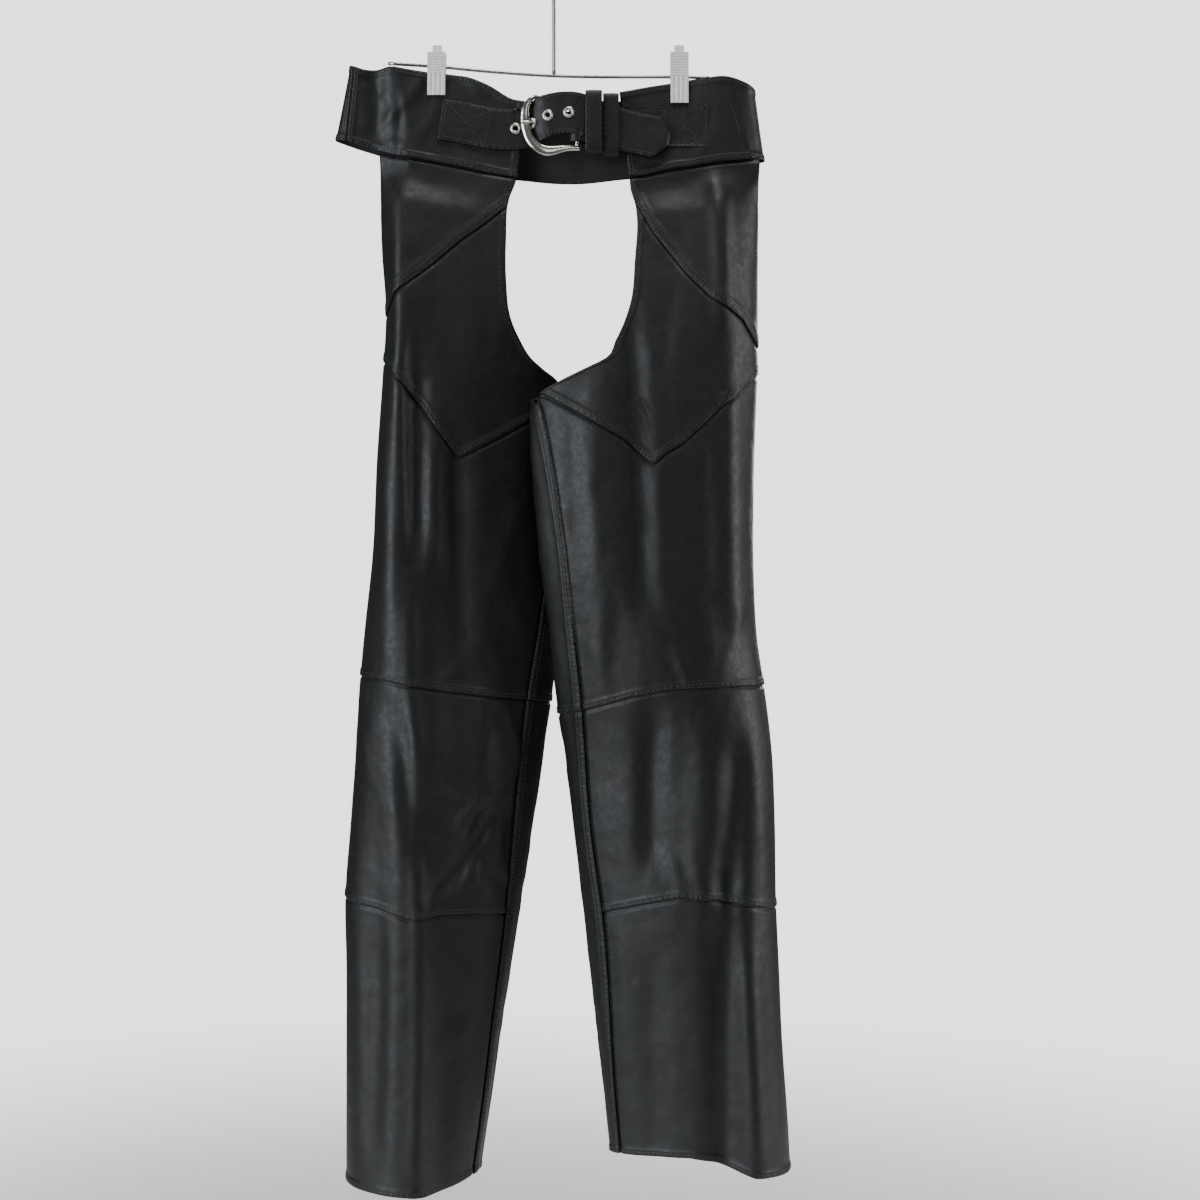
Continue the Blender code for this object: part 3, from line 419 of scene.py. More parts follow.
BACK_CREASES = (
    (-120, 330, -60, 400, 10, -1.4),
    (-150, 420, -80, 470, 9, 1.2),
    (-60, 500, -110, 560, 9, -1.2),
    (-150, 700, -60, 730, 8, 1.4),
    (-140, 745, -50, 770, 7, -1.8),
    (-160, 790, -70, 775, 7, 1.4),
    (-150, 830, -80, 800, 8, -1.2),
    (-110, 900, -120, 1150, 10, 1.0),
    (-160, 980, -154, 1180, 9, -0.9),
    (150, 330, 100, 400, 10, -1.4),
    (170, 430, 90, 480, 9, 1.2),
    (60, 500, 120, 570, 9, -1.2),
    (180, 700, 80, 735, 8, 1.4),
    (60, 750, 170, 772, 7, -1.8),
    (190, 795, 90, 778, 7, 1.4),
    (170, 840, 100, 806, 8, -1.2),
    (130, 900, 140, 1150, 10, 1.0),
    (190, 980, 196, 1170, 9, -0.9),
)
print("creases:", len(RIGHT_CREASES) + len(LEFT_CREASES) + len(BACK_CREASES))

CREASE_FADE = 0.2
CREASE_WANDER = 1.6
WANDER_TURNS = 5.0


def crease_relief(rows, x, drop):
    """Height of soft creases, each along a slightly wandering line, fading past its ends."""
    total = np.zeros(np.shape(x))
    for x0, drop0, x1, drop1, width, rise in rows:
        run_x = x1 - x0
        run_drop = drop1 - drop0
        length = math.hypot(run_x, run_drop)
        t = ((x - x0) * run_x + (drop - drop0) * run_drop) / length ** 2
        aside = ((x - x0) * run_drop - (drop - drop0) * run_x) / length
        wander = CREASE_WANDER * np.sin(t * WANDER_TURNS + x0)
        window = ease((t + CREASE_FADE) / (2 * CREASE_FADE)) * ease((1 + CREASE_FADE - t) / (2 * CREASE_FADE))
        total = total + rise * window * bump(aside - wander, width)
    return total


on_first = crease_relief(RIGHT_CREASES[:1], np.array([-144.0]), np.array([450.0]))
print("relief on the first crease:", on_first.round(2), "mm")

# %% [markdown]
# Seams and edges are where the garment's character lies. Each is a row of points as seen from
# the front: cross seams as x and drop, inner edges as drop and x. The seam between the front
# and the back of a leg runs down its inner side and shows from the front.

# %% Seams and edges
RIGHT_HIP_SEAM = (
    (-185, 402), (-159, 380), (-149, 364), (-118, 339), (-90, 314), (-67, 297), (-45, 279),
    (-30, 268),
)
RIGHT_VEE_SEAM = (
    (-185, 408), (-160, 430), (-131, 464), (-111, 492), (-90, 521), (-57, 504), (-25, 485),
    (12, 462),
)
RIGHT_KNEE_SEAM = (
    (-200, 726), (-186, 728), (-158, 732), (-132, 737), (-97, 742), (-60, 747), (-25, 751),
    (8, 755),
)
RIGHT_CALF_SEAM = (
    (-205, 939), (-197, 941), (-164, 947), (-131, 956), (-104, 952), (-76, 952), (-44, 955),
    (-25, 957),
)
RIGHT_HEM = ((-210, 1211), (-174, 1212), (-119, 1214), (-92, 1209), (-73, 1204), (-60, 1202))
LEFT_HIP_SEAM = (
    (60, 248), (77, 272), (95, 305), (123, 342), (148, 369), (178, 390), (192, 410), (205, 424),
)
LEFT_VEE_SEAM = (
    (-20, 459), (-6, 462), (35, 486), (71, 507), (92, 529), (105, 519), (123, 509), (150, 482),
    (180, 453), (200, 432),
)
LEFT_KNEE_SEAM = ((-10, 767), (7, 765), (28, 761), (76, 747), (112, 740), (148, 738), (215, 737))
LEFT_CALF_SEAM = ((20, 958), (47, 954), (84, 944), (120, 936), (157, 939), (225, 952))
LEFT_HEM = ((40, 1188), (55, 1187), (129, 1183), (153, 1186), (178, 1195), (190, 1199), (240, 1203))
RIGHT_FRONT_EDGE = (
    (240, -34), (253, -36), (272, -43), (311, -46), (350, -46), (388, -41), (407, -32), (425, -20),
    (434, -9), (443, 3), (456, 5), (530, -1), (588, -7), (651, -10), (694, -16), (750, -25),
    (854, -36), (964, -46), (1051, -57), (1157, -70), (1225, -80),
)
LEFT_FRONT_EDGE = (
    (240, 73), (263, 74), (273, 77), (336, 77), (374, 73), (411, 59), (429, 48), (436, 33),
    (448, 8), (461, -14), (475, -11), (535, 1), (607, 12), (680, 19), (747, 26), (880, 36),
    (960, 47), (1123, 58), (1225, 67),
)
RIGHT_BACK_EDGE = ((225, -62), (300, -60), (370, -58), (410, -50), (432, -32), (444, -12), (449, 8))
LEFT_BACK_EDGE = ((225, 92), (300, 90), (370, 86), (411, 76), (432, 58), (446, 30), (458, 0), (462, -16))
print("right hip seam rises", RIGHT_HIP_SEAM[0][1] - RIGHT_HIP_SEAM[-1][1], "mm towards the front edge")

# %% [markdown]
# The waist is a table of stations round the body, each with a point on the top and one on the
# lower edge of the yoke. The body inside has gone, so the front and back lie almost flat
# against each other, pinched together at the clips.

# %% Waist stations: top_x, top_y, top_drop, low_x, low_y, low_drop
WAIST = np.array((
    (-27, -5, 176, -35, -11, 250), (-43, -5, 172, -52, -12, 248), (-61, -5, 161, -71, -12, 244),
    (-80, -4, 153, -88, -12, 240), (-103, -3.2, 149, -104, -12, 237), (-123, -3.2, 147, -122, -13, 234),
    (-141, -8, 145, -139, -14, 231), (-157, -9, 143, -154, -8, 228), (-170, -3, 145, -170, -2, 223),
    (-182, -5, 145, -187, -3, 218), (-192, -5, 142, -200, -3, 214), (-196, 1, 140, -211, 3, 212),
    (-192, 8, 141, -206, 12, 213), (-172, 10, 143, -184, 15, 220), (-145, 7, 145, -150, 14, 230),
    (-123, 3.8, 147, -122, 13, 236), (-103, 3.8, 149, -104, 12, 240), (-62, 6, 166, -64, 12, 246),
    (-30, 7, 178, -31, 12, 249), (0, 8, 182, 0, 12, 252), (31, 8, 181, 30, 12, 252),
    (66, 7, 172, 66, 12, 248), (112, 3.8, 158, 112, 12, 244), (130, 3.8, 156, 131, 13, 241),
    (158, 10, 156, 160, 17, 236), (182, 16, 158, 188, 20, 232), (194, 10, 161, 203, 12, 231),
    (188, -1, 158, 201, 2, 231), (175, -7, 154, 193, -5, 231), (163, -9, 152, 187, -8, 232),
    (148, -7, 153, 160, -12, 235), (130, -3.2, 155, 131, -13, 240), (112, -3.2, 158, 114, -13, 242),
    (88, -4, 162, 88, -12, 248), (63, -5, 167, 72, -11, 249),
))
RIGHT_SIDE_STATION = 10
LEFT_SIDE_STATION = 29
YOKE_BLEND = 45.0
YOKE_LOW_DROP = WAIST[:, 5].max()


def low_edge(first, last):
    """Lower edge of a stretch of the yoke, as x, y and drop, sorted by x."""
    rows = WAIST[first:last, 3:]
    return rows[np.argsort(rows[:, 0])]


half = len(WAIST) // 2 + 2
LOW_EDGES = {
    ("right", "front"): low_edge(0, RIGHT_SIDE_STATION + 1),
    ("left", "front"): low_edge(LEFT_SIDE_STATION, len(WAIST)),
    ("right", "back"): low_edge(RIGHT_SIDE_STATION + 2, half),
    ("left", "back"): low_edge(half, LEFT_SIDE_STATION - 2),
}
print("waist stations:", len(WAIST))


# %% [markdown]
# A place on a leg has two numbers: how far it is turned round the leg, and how far it drops.
# Turn 0 is the outer edge, 1 the inner edge by way of the front and 2 the outer edge by way
# of the back. Working on whole arrays of places at once keeps this fast enough for a mesh
# with a point every few millimetres.

# %% The surface of a leg
BACK_RIDGE = 0.45
OUTSIDE_ROUNDNESS = 2.0
INSIDE_ROUNDNESS = 1.5
CROTCH_RAMP = 6.0
FOLD_FADE = 0.25
FOLD_RUN = 0.4


class Leg:
    def __init__(self, side, sections, folds, creases, front_edge, back_edge):
        self.side = side
        self.sections = np.array(sections, float)
        self.folds = folds
        self.creases = creases
        self.front_edge = np.array(front_edge, float)
        self.back_edge = np.array(back_edge, float)
        self.crotch = self.back_edge[-1, 0]

    def section(self, drop):
        return [smooth(self.sections[:, 0], self.sections[:, k], drop) for k in range(1, 8)]

    def x_at(self, turn, drop):
        outer, inner = self.section(drop)[:2]
        return lerp(outer, inner, 0.5 - 0.5 * np.cos(math.pi * turn))

    def turn_at(self, x, drop):
        outer, inner = self.section(drop)[:2]
        across = np.clip((x - outer) / (inner - outer), 0.0, 1.0)
        return np.arccos(1 - 2 * across) / math.pi

    def fold(self, x, drop):
        total = 0.0
        for top, top_x, low, low_x, width, depth in self.folds:
            t = (drop - top) / (low - top)
            window = ease((t + FOLD_FADE) / FOLD_RUN) * ease((1 + FOLD_FADE - t) / FOLD_RUN)
            total = total + depth * window * bump(x - lerp(top_x, low_x, t), width)
        return total

    def surface(self, turn, drop):
        """Points on the leg, in millimetres, as rows of x, y and z."""
        outer, inner, front, back, ridge, mid_out, mid_in = self.section(drop)
        on_front = np.mod(turn, 2) <= 1
        across = 0.5 - 0.5 * np.cos(math.pi * turn)
        x = lerp(outer, inner, across)
        middle = lerp(mid_out, mid_in, across)
        peak = np.where(on_front, ridge, BACK_RIDGE)
        outside = across < peak
        away = np.where(outside, (peak - across) / peak, (across - peak) / (1 - peak))
        power = np.where(outside, OUTSIDE_ROUNDNESS, INSIDE_ROUNDNESS)
        depth = np.maximum(0.0, 1 - np.clip(away, 0, 1) ** power) ** (1 / power)
        y_front = middle - front * depth - self.fold(x, drop) * np.sqrt(depth)
        y = np.where(on_front, y_front, middle + back * depth)
        for face, mask in (("front", on_front), ("back", ~on_front)):
            low = LOW_EDGES[(self.side, face)]
            near = ease(1 - (drop - np.interp(x, low[:, 0], low[:, 2])) / YOKE_BLEND)
            y = np.where(mask, lerp(y, np.interp(x, low[:, 0], low[:, 1]), near), y)
        return np.stack([x, y, -drop], axis=-1)

    def front_end(self, drop):
        return self.turn_at(smooth(self.front_edge[:, 0], self.front_edge[:, 1], drop), drop)

    def back_start(self, drop):
        """The back panel starts on the inseam below the crotch, on the back of the leg above it."""
        edge_x = smooth(self.back_edge[:, 0], self.back_edge[:, 1], drop)
        above = 2 - self.turn_at(edge_x, np.minimum(drop, self.crotch))
        share = np.clip((drop - self.crotch) / CROTCH_RAMP, 0, 1)
        return lerp(above, self.front_end(drop), share)


right_leg = Leg("right", RIGHT_SECTIONS, RIGHT_FOLDS, RIGHT_CREASES, RIGHT_FRONT_EDGE, RIGHT_BACK_EDGE)
left_leg = Leg("left", LEFT_SECTIONS, LEFT_FOLDS, LEFT_CREASES, LEFT_FRONT_EDGE, LEFT_BACK_EDGE)
print("ridge of the right knee:", right_leg.surface(np.array([0.4]), np.array([740.0])).round(1))

# %% [markdown]
# The outer side of each leg has a plain seam just behind its edge, open at the top as a notch.

# %% Outer seam
OUTER_SEAM_TURN = -0.08
NOTCH_TURN = 0.03
NOTCH_LOW_DROP = 276.0
NOTCH_CLOSING = 40.0


def front_start(drop):
    return lerp(NOTCH_TURN, OUTER_SEAM_TURN, ease((drop - NOTCH_LOW_DROP) / NOTCH_CLOSING))


def back_end(drop):
    return 2 + lerp(-NOTCH_TURN, OUTER_SEAM_TURN, ease((drop - NOTCH_LOW_DROP) / NOTCH_CLOSING))


print("notch closes at drop", NOTCH_LOW_DROP + NOTCH_CLOSING)

# %% [markdown]
# Where two pieces of hide are sewn, the upper one laps over the other and a row or two of
# topstitch holds it down, so its edge stands a little proud, rolls over and throws a thin
# shadow. A free edge is turned under and stitched, which makes a low rounded rim. Each edge
# gets a profile of its own, as a lift that depends on the distance from it.

# %% Edge profiles
LAP_RISE = 0.9
LAP_ROLL = 0.8
LAP_FADE = 3.5
ROW_SINK = 0.35
ROW_WIDTH = 0.8
PLAIN_SINK = 0.6
PLAIN_ROLL = 1.2
TUCK_FADE = 4.5
# How far each row of stitches lies from the edge, for every kind of edge.
SEAM_ROWS = {"lap": (2.0, 6.4), "single": (4.2,), "turned": (4.0,),
             "under": (), "under_yoke": (), "flush": (), "plain": ()}
# A tucked edge sinks by the first number and reaches under its neighbour by the second.
TUCKS = {"under": (1.45, 3.0), "under_yoke": (2.5, 4.0), "flush": (0.3, 2.0)}


def edge_lift(kind, far):
    """Lift of a piece at a distance from one of its edges."""
    if kind in TUCKS:
        sink, _ = TUCKS[kind]
        return -sink * (1 - ease(far / TUCK_FADE))
    if kind == "plain":
        return -PLAIN_SINK * bump(far, PLAIN_ROLL)
    rows = SEAM_ROWS[kind]
    lift = LAP_RISE * (1 - ease((far - rows[-1] - LAP_ROLL) / LAP_FADE)) - LAP_RISE * bump(far, LAP_ROLL)
    for row in rows:
        lift = lift - ROW_SINK * bump(far - row, ROW_WIDTH)
    return lift


print("lap rises", LAP_RISE, "mm")

# %% [markdown]
# A seam is wanted as a function, since a panel asks for its drop at any x. Some seams slant, and
# a row of stitches keeps its distance square to its seam, so the steepness is needed too.

# %% Seams as functions
def table_seam(rows):
    rows = np.array(rows, float)
    return lambda x: np.interp(x, rows[:, 0], rows[:, 1])


def waist_seam(side, face):
    rows = LOW_EDGES[(side, face)]
    return lambda x: np.interp(x, rows[:, 0], rows[:, 2])


def steep(seam, x):
    """How much longer a step straight down is than a step square to the seam."""
    return np.sqrt(1 + ((seam(x + 1) - seam(x - 1)) / 2) ** 2)


def square_length(vectors):
    return np.sqrt((vectors ** 2).sum(axis=-1))


print("waist seam of the right front at its middle:", waist_seam("right", "front")(-100.0))

# %% [markdown]
# A panel knows its seams, its edges and how each of them is sewn. It can find the place that
# lies at a share across and down it, and it can give the point there with everything on top:
# the folds, the creases and the profiles of its edges. The mesh and the stitches both ask it,
# so the stitches always sit in the leather.

# %% Panels of the legs
LEG_TOP = 200.0
LEG_FOOT = 1230.0
HALVINGS = 24
TURN_STEP = 0.006
CROTCH_BLEND = 8
CREASE_FREE = 20
CREASE_GROWTH = 30
FAR_AWAY = 99.0
EDGE_STEP = 0.9


class Panel:
    def __init__(self, leg, upper, lower, start, end, kinds):
        self.leg = leg
        self.upper = upper
        self.lower = lower
        self.start = start
        self.end = end
        self.kinds = kinds
        self.tuck_top = TUCKS[kinds[0]][1]
        self.tuck_end = TUCKS["under"][1] if kinds[3] == ("turned", "under") else 0.0

    def solve_sheet(self, across, down):
        return self.solve(across, down, (-self.tuck_top, 0, 0, 0))

    def over(self, turn, drop):
        """A small step round the leg at a place, as a vector."""
        return self.leg.surface(turn + TURN_STEP, drop) - self.leg.surface(turn - TURN_STEP, drop)

    def speed(self, turn, drop):
        """Millimetres round the leg for one unit of turn."""
        return square_length(self.over(turn, drop)) / (2 * TURN_STEP)

    def solve(self, across, down, inset=(0, 0, 0, 0)):
        """Turn and drop of places that lie across and down the panel, inset from its four edges."""
        low = np.full(np.shape(across), LEG_TOP)
        high = np.full(np.shape(across), LEG_FOOT)
        for _ in range(HALVINGS):
            drop = (low + high) / 2
            first = self.start(drop)
            last = self.end(drop)
            speed = self.speed(lerp(first, last, across), drop)
            first = first + inset[2] / speed
            tuck = self.tuck_end * ease((drop - self.leg.crotch) / CROTCH_BLEND)
            last = last - (inset[3] - tuck) / speed
            turn = lerp(first, last, across)
            x = self.leg.x_at(turn, drop)
            top = self.upper(x) + inset[0] * steep(self.upper, x)
            foot = self.lower(x) - inset[1] * steep(self.lower, x)
            deeper = lerp(top, foot, down) > drop
            low = np.where(deeper, drop, low)
            high = np.where(deeper, high, drop)
        return turn, drop

    def place(self, turn, drop):
        """Points, normals, distance to the nearest stitched edge and place along it."""
        leg = self.leg
        base = leg.surface(turn, drop)
        over = self.over(turn, drop)
        fall = leg.surface(turn, drop + 1) - leg.surface(turn, drop - 1)
        normal = np.cross(over, fall)
        normal = normal / np.maximum(square_length(normal), 1e-9)[..., None]
        outer, inner, _, _, _, mid_out, mid_in = leg.section(drop)
        middle = np.stack([(outer + inner) / 2, (mid_out + mid_in) / 2, -drop], axis=-1)
        inward = ((base - middle) * normal).sum(axis=-1) < 0
        normal = np.where(inward[..., None], -normal, normal)
        speed = square_length(over) / (2 * TURN_STEP)
        x = base[..., 0]
        fars = (
            (drop - self.upper(x)) / steep(self.upper, x),
            (self.lower(x) - drop) / steep(self.lower, x),
            (turn - self.start(drop)) * speed,
            (self.end(drop) - turn) * speed,
        )
        lift = crease_relief(leg.creases if self.front else BACK_CREASES, x, drop)
        lift = lift * ease((drop - YOKE_LOW_DROP + CREASE_FREE) / CREASE_GROWTH)
        away = np.full(np.shape(x), FAR_AWAY)
        run = np.zeros(np.shape(x))
        for far, kind, track in zip(fars, self.kinds, (x, x, drop, drop)):
            if isinstance(kind, tuple):
                above = ease((leg.crotch + CROTCH_BLEND / 2 - drop) / CROTCH_BLEND)
                lift = lift + above * edge_lift(kind[0], far) + (1 - above) * edge_lift(kind[1], far)
                stitched = bool(SEAM_ROWS[kind[0]] or SEAM_ROWS[kind[1]])
            else:
                lift = lift + edge_lift(kind, far)
                stitched = bool(SEAM_ROWS[kind])
            if stitched:
                nearer = far < away
                away = np.where(nearer, far, away)
                run = np.where(nearer, track, run)
        return base + normal * lift[..., None], normal, away, run

    @property
    def front(self):
        return self.end != back_end


def spaced(length, coarse, margin=9):
    """Shares from 0 to 1, close together within a margin of both ends."""
    edge = np.arange(0, margin, EDGE_STEP)
    middle = np.linspace(margin, length - margin, max(3, int((length - 2 * margin) / coarse)))
    return np.concatenate([edge, middle, length - edge[::-1]]) / length


print("shares across 200 mm:", len(spaced(200, 3.5)))

# %% [markdown]
# A sheet of hide starts as a flat grid, one point for each share across and down. The points
# then move to where the panel says, and a Solidify modifier gives the hide its thickness
# inwards, with the lining on the inside.

# %% Make a sheet of hide
HIDE_WALL = 1.2


def finish_piece(name, bm, material, replaced=()):
    """Turn a bmesh into an object of the scene that rides on the body."""
    mesh = bpy.data.meshes.new(name)
    bm.to_mesh(mesh)
    bm.free()
    mesh.shade_smooth()
    mesh.materials.append(material)
    piece = bpy.data.objects.new(name, mesh)
    bpy.context.scene.collection.objects.link(piece)
    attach(piece, "root")
    if replaced:
        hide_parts(*replaced)
    return piece


def thicken(piece, wall, offset=-1):
    """Give a sheet its wall in millimetres, by default behind its face."""
    solid = piece.modifiers.new("wall", "SOLIDIFY")
    solid.thickness = wall * MM
    solid.offset = offset
    return solid


def seam_layers(bm):
    """Layers for how far each point lies from its seam, and how far along it."""
    return bm.verts.layers.float.new("seam_away"), bm.verts.layers.float.new("seam_run")


def hide_sheet(name, replaced, shares_across, shares_down, place, wall=HIDE_WALL):
    nx = len(shares_across) - 1
    ny = len(shares_down) - 1
    across, down = np.meshgrid(shares_across, shares_down)
    points, normals, away, run = place(across, down)
    bm = bmesh.new()
    bmesh.ops.create_grid(bm, x_segments=nx, y_segments=ny, size=0.5)
    away_layer, run_layer = seam_layers(bm)
    for v in bm.verts:
        i = round((0.5 - v.co.y) * ny)
        j = round((v.co.x + 0.5) * nx)
        v.co = Vector(points[i, j]) * MM
        v[away_layer] = away[i, j]
        v[run_layer] = run[i, j]
    bm.faces.ensure_lookup_table()
    bm.normal_update()
    centre = bm.faces[len(bm.faces) // 2 + nx // 2]
    nearest = np.abs(points * MM - np.array(centre.calc_center_median())).sum(axis=-1).argmin()
    if centre.normal.dot(Vector(normals.reshape(-1, 3)[nearest])) < 0:
        bmesh.ops.reverse_faces(bm, faces=bm.faces[:])
    piece = finish_piece(name, bm, leather, (replaced,))
    piece.data.materials.append(lining)
    thicken(piece, wall).material_offset = 1


# %% [markdown]
# Each leg is cut in seven pieces: five down the front, with the slanting seam at the hip, the
# pointed one at the thigh and the two straight ones above and below the knee, and two behind.

# %% Legs
FRONT_WIDTH = 200
FRONT_STEPS = (3.2, 3.4)
BACK_WIDTH = 230
BACK_STEPS = (4.2, 4.6)


def build_leg(leg, hip, vee, knee, calf, hem):
    side = leg.side
    seams = [waist_seam(side, "front")] + [table_seam(rows) for rows in (hip, vee, knee, calf, hem)]
    names = ("hip_panel", "thigh_panel", "lower_thigh_panel", "knee_panel", "shin_panel")
    lower_kinds = ("lap", "single", "single", "single", "turned")
    lengths = (110, 140, 250, 200, 260)
    panels = {}
    for name, upper, lower, lower_kind, length in zip(names, seams, seams[1:], lower_kinds, lengths):
        kinds = ("under_yoke" if name == "hip_panel" else "under", lower_kind, "plain", ("turned", "under"))
        panel = Panel(leg, upper, lower, front_start, leg.front_end, kinds)
        node = side + "_" + name
        hide_sheet(node + "_hide", node, spaced(FRONT_WIDTH, FRONT_STEPS[0]), spaced(length, FRONT_STEPS[1]),
                   lambda across, down: panel.place(*panel.solve_sheet(across, down)))
        panels[name] = panel
    back_top = waist_seam(side, "back")
    for name, upper, lower, lower_kind, length, hung in (
            ("back_thigh", back_top, seams[3], "single", 490, "back_yoke"),
            ("back_calf", seams[3], seams[5], "turned", 460, side + "_back_thigh")):
        kinds = ("under_yoke" if name == "back_thigh" else "under", lower_kind, ("turned", "lap"), "plain")
        panel = Panel(leg, upper, lower, leg.back_start, back_end, kinds)
        node = side + "_" + name
        hide_sheet(node + "_hide", node, spaced(BACK_WIDTH, BACK_STEPS[0]), spaced(length, BACK_STEPS[1]),
                   lambda across, down: panel.place(*panel.solve_sheet(across, down)))
        panels[name] = panel
    return panels


right_panels = build_leg(right_leg, RIGHT_HIP_SEAM, RIGHT_VEE_SEAM, RIGHT_KNEE_SEAM, RIGHT_CALF_SEAM,
                         RIGHT_HEM)
left_panels = build_leg(left_leg, LEFT_HIP_SEAM, LEFT_VEE_SEAM, LEFT_KNEE_SEAM, LEFT_CALF_SEAM,
                        LEFT_HEM)

# %% [markdown]
# The yokes are the waist band: one piece behind and one each side of the front, of two layers
# of hide with every edge turned in. They lap over the tops of the legs.

# %% Yokes
YOKE_WALL = 2.2
YOKE_TALL = 80
YOKE_STEPS = (2.6, 2.4)
YOKE_MARGIN = 8
STATION_STEP = 0.1
YOKE_CREASES = (
    (-126, 152, -162, 200, 6, 2.3),
    (-108, 166, -128, 212, 6, 1.8),
    (-150, 176, -147, 232, 4, -1.5),
    (-178, 150, -170, 172, 5, -1.2),
    (-172, 214, -150, 222, 4, 1.2),
    (-88, 150, -70, 166, 5, 1.0),
    (186, 150, 192, 230, 6, -1.3),
    (158, 172, 164, 232, 7, 1.2),
    (-158, 212, -140, 226, 4, 1.0),
    (-110, 220, -102, 232, 4, 0.8),
    (-92, 226, -56, 241, 6, 0.9),
    (-184, 160, -180, 200, 7, 0.9),
    (172, 168, 178, 202, 7, 1.3),
    (150, 200, 140, 234, 6, 0.8),
    (90, 230, 76, 244, 5, 0.7),
)
BACK_YOKE_CREASES = (
    (-120, 170, -80, 236, 8, 1.0),
    (-60, 190, -20, 240, 8, -0.9),
    (10, 190, 30, 246, 8, 0.9),
    (90, 180, 60, 240, 8, 1.0),
    (140, 170, 150, 236, 8, -0.9),
)


class Yoke:
    def __init__(self, first, last, creases, side_kinds):
        self.first = first
        self.last = last
        self.creases = creases
        self.kinds = ("turned", "turned") + side_kinds

    def flat_point(self, station, share):
        read = [smooth(range(len(WAIST)), WAIST[:, k], station) for k in range(6)]
        x, y, drop = [lerp(read[k], read[k + 3], share) for k in range(3)]
        return np.stack([x, y, -drop], axis=-1)

    def over(self, station, share):
        """A small step along the yoke at a place, as a vector."""
        return self.flat_point(station + STATION_STEP, share) - self.flat_point(station - STATION_STEP, share)

    def solve(self, across, down, inset=(0, 0, 0, 0)):
        station = lerp(float(self.first), float(self.last), across)
        speed = square_length(self.over(station, down)) / (2 * STATION_STEP)
        tall = square_length(self.flat_point(station, 1.0) - self.flat_point(station, 0.0))
        station = station + (1 - across) * inset[2] / speed - across * inset[3] / speed
        return station, lerp(inset[0] / tall, 1 - inset[1] / tall, down)

    def solve_sheet(self, across, down):
        tuck = TUCKS["flush"][1] if self.kinds[3] == "flush" else 0.0
        return self.solve(across, down, (0, 0, 0, -tuck))

    def place(self, station, share):
        base = self.flat_point(station, share)
        over = self.over(station, share)
        fall = self.flat_point(station, 1.0) - self.flat_point(station, 0.0)
        normal = np.cross(over, fall)
        normal = normal / square_length(normal)[..., None]
        speed = square_length(over) / (2 * STATION_STEP)
        tall = square_length(fall)
        fars = (
            share * tall,
            (1 - share) * tall,
            (station - self.first) * speed,
            (self.last - station) * speed,
        )
        tracks = (base[..., 0], base[..., 0], base[..., 2], base[..., 2])
        lift = crease_relief(self.creases, base[..., 0], -base[..., 2])
        away = np.full(np.shape(share), FAR_AWAY)
        run = np.zeros(np.shape(share))
        for far, track, kind in zip(fars, tracks, self.kinds):
            lift = lift + edge_lift(kind, far)
            nearer = (far < away) & (kind == "turned")
            away = np.where(nearer, far, away)
            run = np.where(nearer, track, run)
        return base + normal * lift[..., None], normal, away, run


yokes = {
    "right_front_yoke": Yoke(0, RIGHT_SIDE_STATION, YOKE_CREASES, ("turned", "turned")),
    "back_yoke": Yoke(RIGHT_SIDE_STATION, LEFT_SIDE_STATION, BACK_YOKE_CREASES, ("turned", "flush")),
    "left_front_yoke": Yoke(LEFT_SIDE_STATION, len(WAIST) - 1, YOKE_CREASES, ("plain", "turned")),
}
for name, length in (("right_front_yoke", 180), ("back_yoke", 420), ("left_front_yoke", 110)):
    yoke = yokes[name]
    hide_sheet(name + "_hide", name, spaced(length, YOKE_STEPS[0], YOKE_MARGIN),
               spaced(YOKE_TALL, YOKE_STEPS[1], YOKE_MARGIN),
               lambda across, down: yoke.place(*yoke.solve_sheet(across, down)),
               YOKE_WALL)

# %% [markdown]
# Topstitching is a row of short thread lengths that dive into the hide at both ends. Each one
# is a small squashed sphere laid along its seam, just above the leather. They are small enough
# to need only a few faces, and there are thousands of them, so every leg's stitches are one mesh.

# %% Stitches
STITCH_LENGTH = 3.0
STITCH_WIDTH = 0.85
STITCH_HEIGHT = 0.7
STITCH_RISE = 0.15
BATCH_VERTS = 500
ROW_SAMPLES = 240


def empty_into(batch, bm):
    """Add a small bmesh to a large one and free it."""
    mesh = bpy.data.meshes.new("batch")
    batch.to_mesh(mesh)
    batch.free()
    bm.from_mesh(mesh)
    bpy.data.meshes.remove(mesh)


def stitch_row(bm, points, normals, pitch=STITCH_PITCH):
    """Lay stitches along a line of points on the leather, a few dozen at a time to stay quick."""
    batch = bmesh.new()
    run = np.concatenate([[0.0], np.cumsum(square_length(np.diff(points, axis=0)))])
    for middle in np.arange(pitch / 2, run[-1] - pitch / 4, pitch):
        ends = [Vector([np.interp(middle + side * STITCH_LENGTH / 2, run, points[:, k]) for k in range(3)])
                for side in (-1, 1)]
        up = Vector([np.interp(middle, run, normals[:, k]) for k in range(3)])
        forward = (ends[1] - ends[0]).normalized()
        aside = up.cross(forward).normalized()
        up = forward.cross(aside)
        turn = Matrix((forward, aside, up)).transposed().to_4x4()
        size = Matrix.Diagonal((STITCH_LENGTH, STITCH_WIDTH, STITCH_HEIGHT, 1.0))
        place = Matrix.Translation((ends[0] + ends[1]) / 2 + up * STITCH_HEIGHT * STITCH_RISE)
        bmesh.ops.create_uvsphere(batch, u_segments=6, v_segments=4, radius=0.5,
                                  matrix=Matrix.Scale(MM, 4) @ place @ turn @ size)
        if len(batch.verts) > BATCH_VERTS:
            empty_into(batch, bm)
            batch = bmesh.new()
    empty_into(batch, bm)


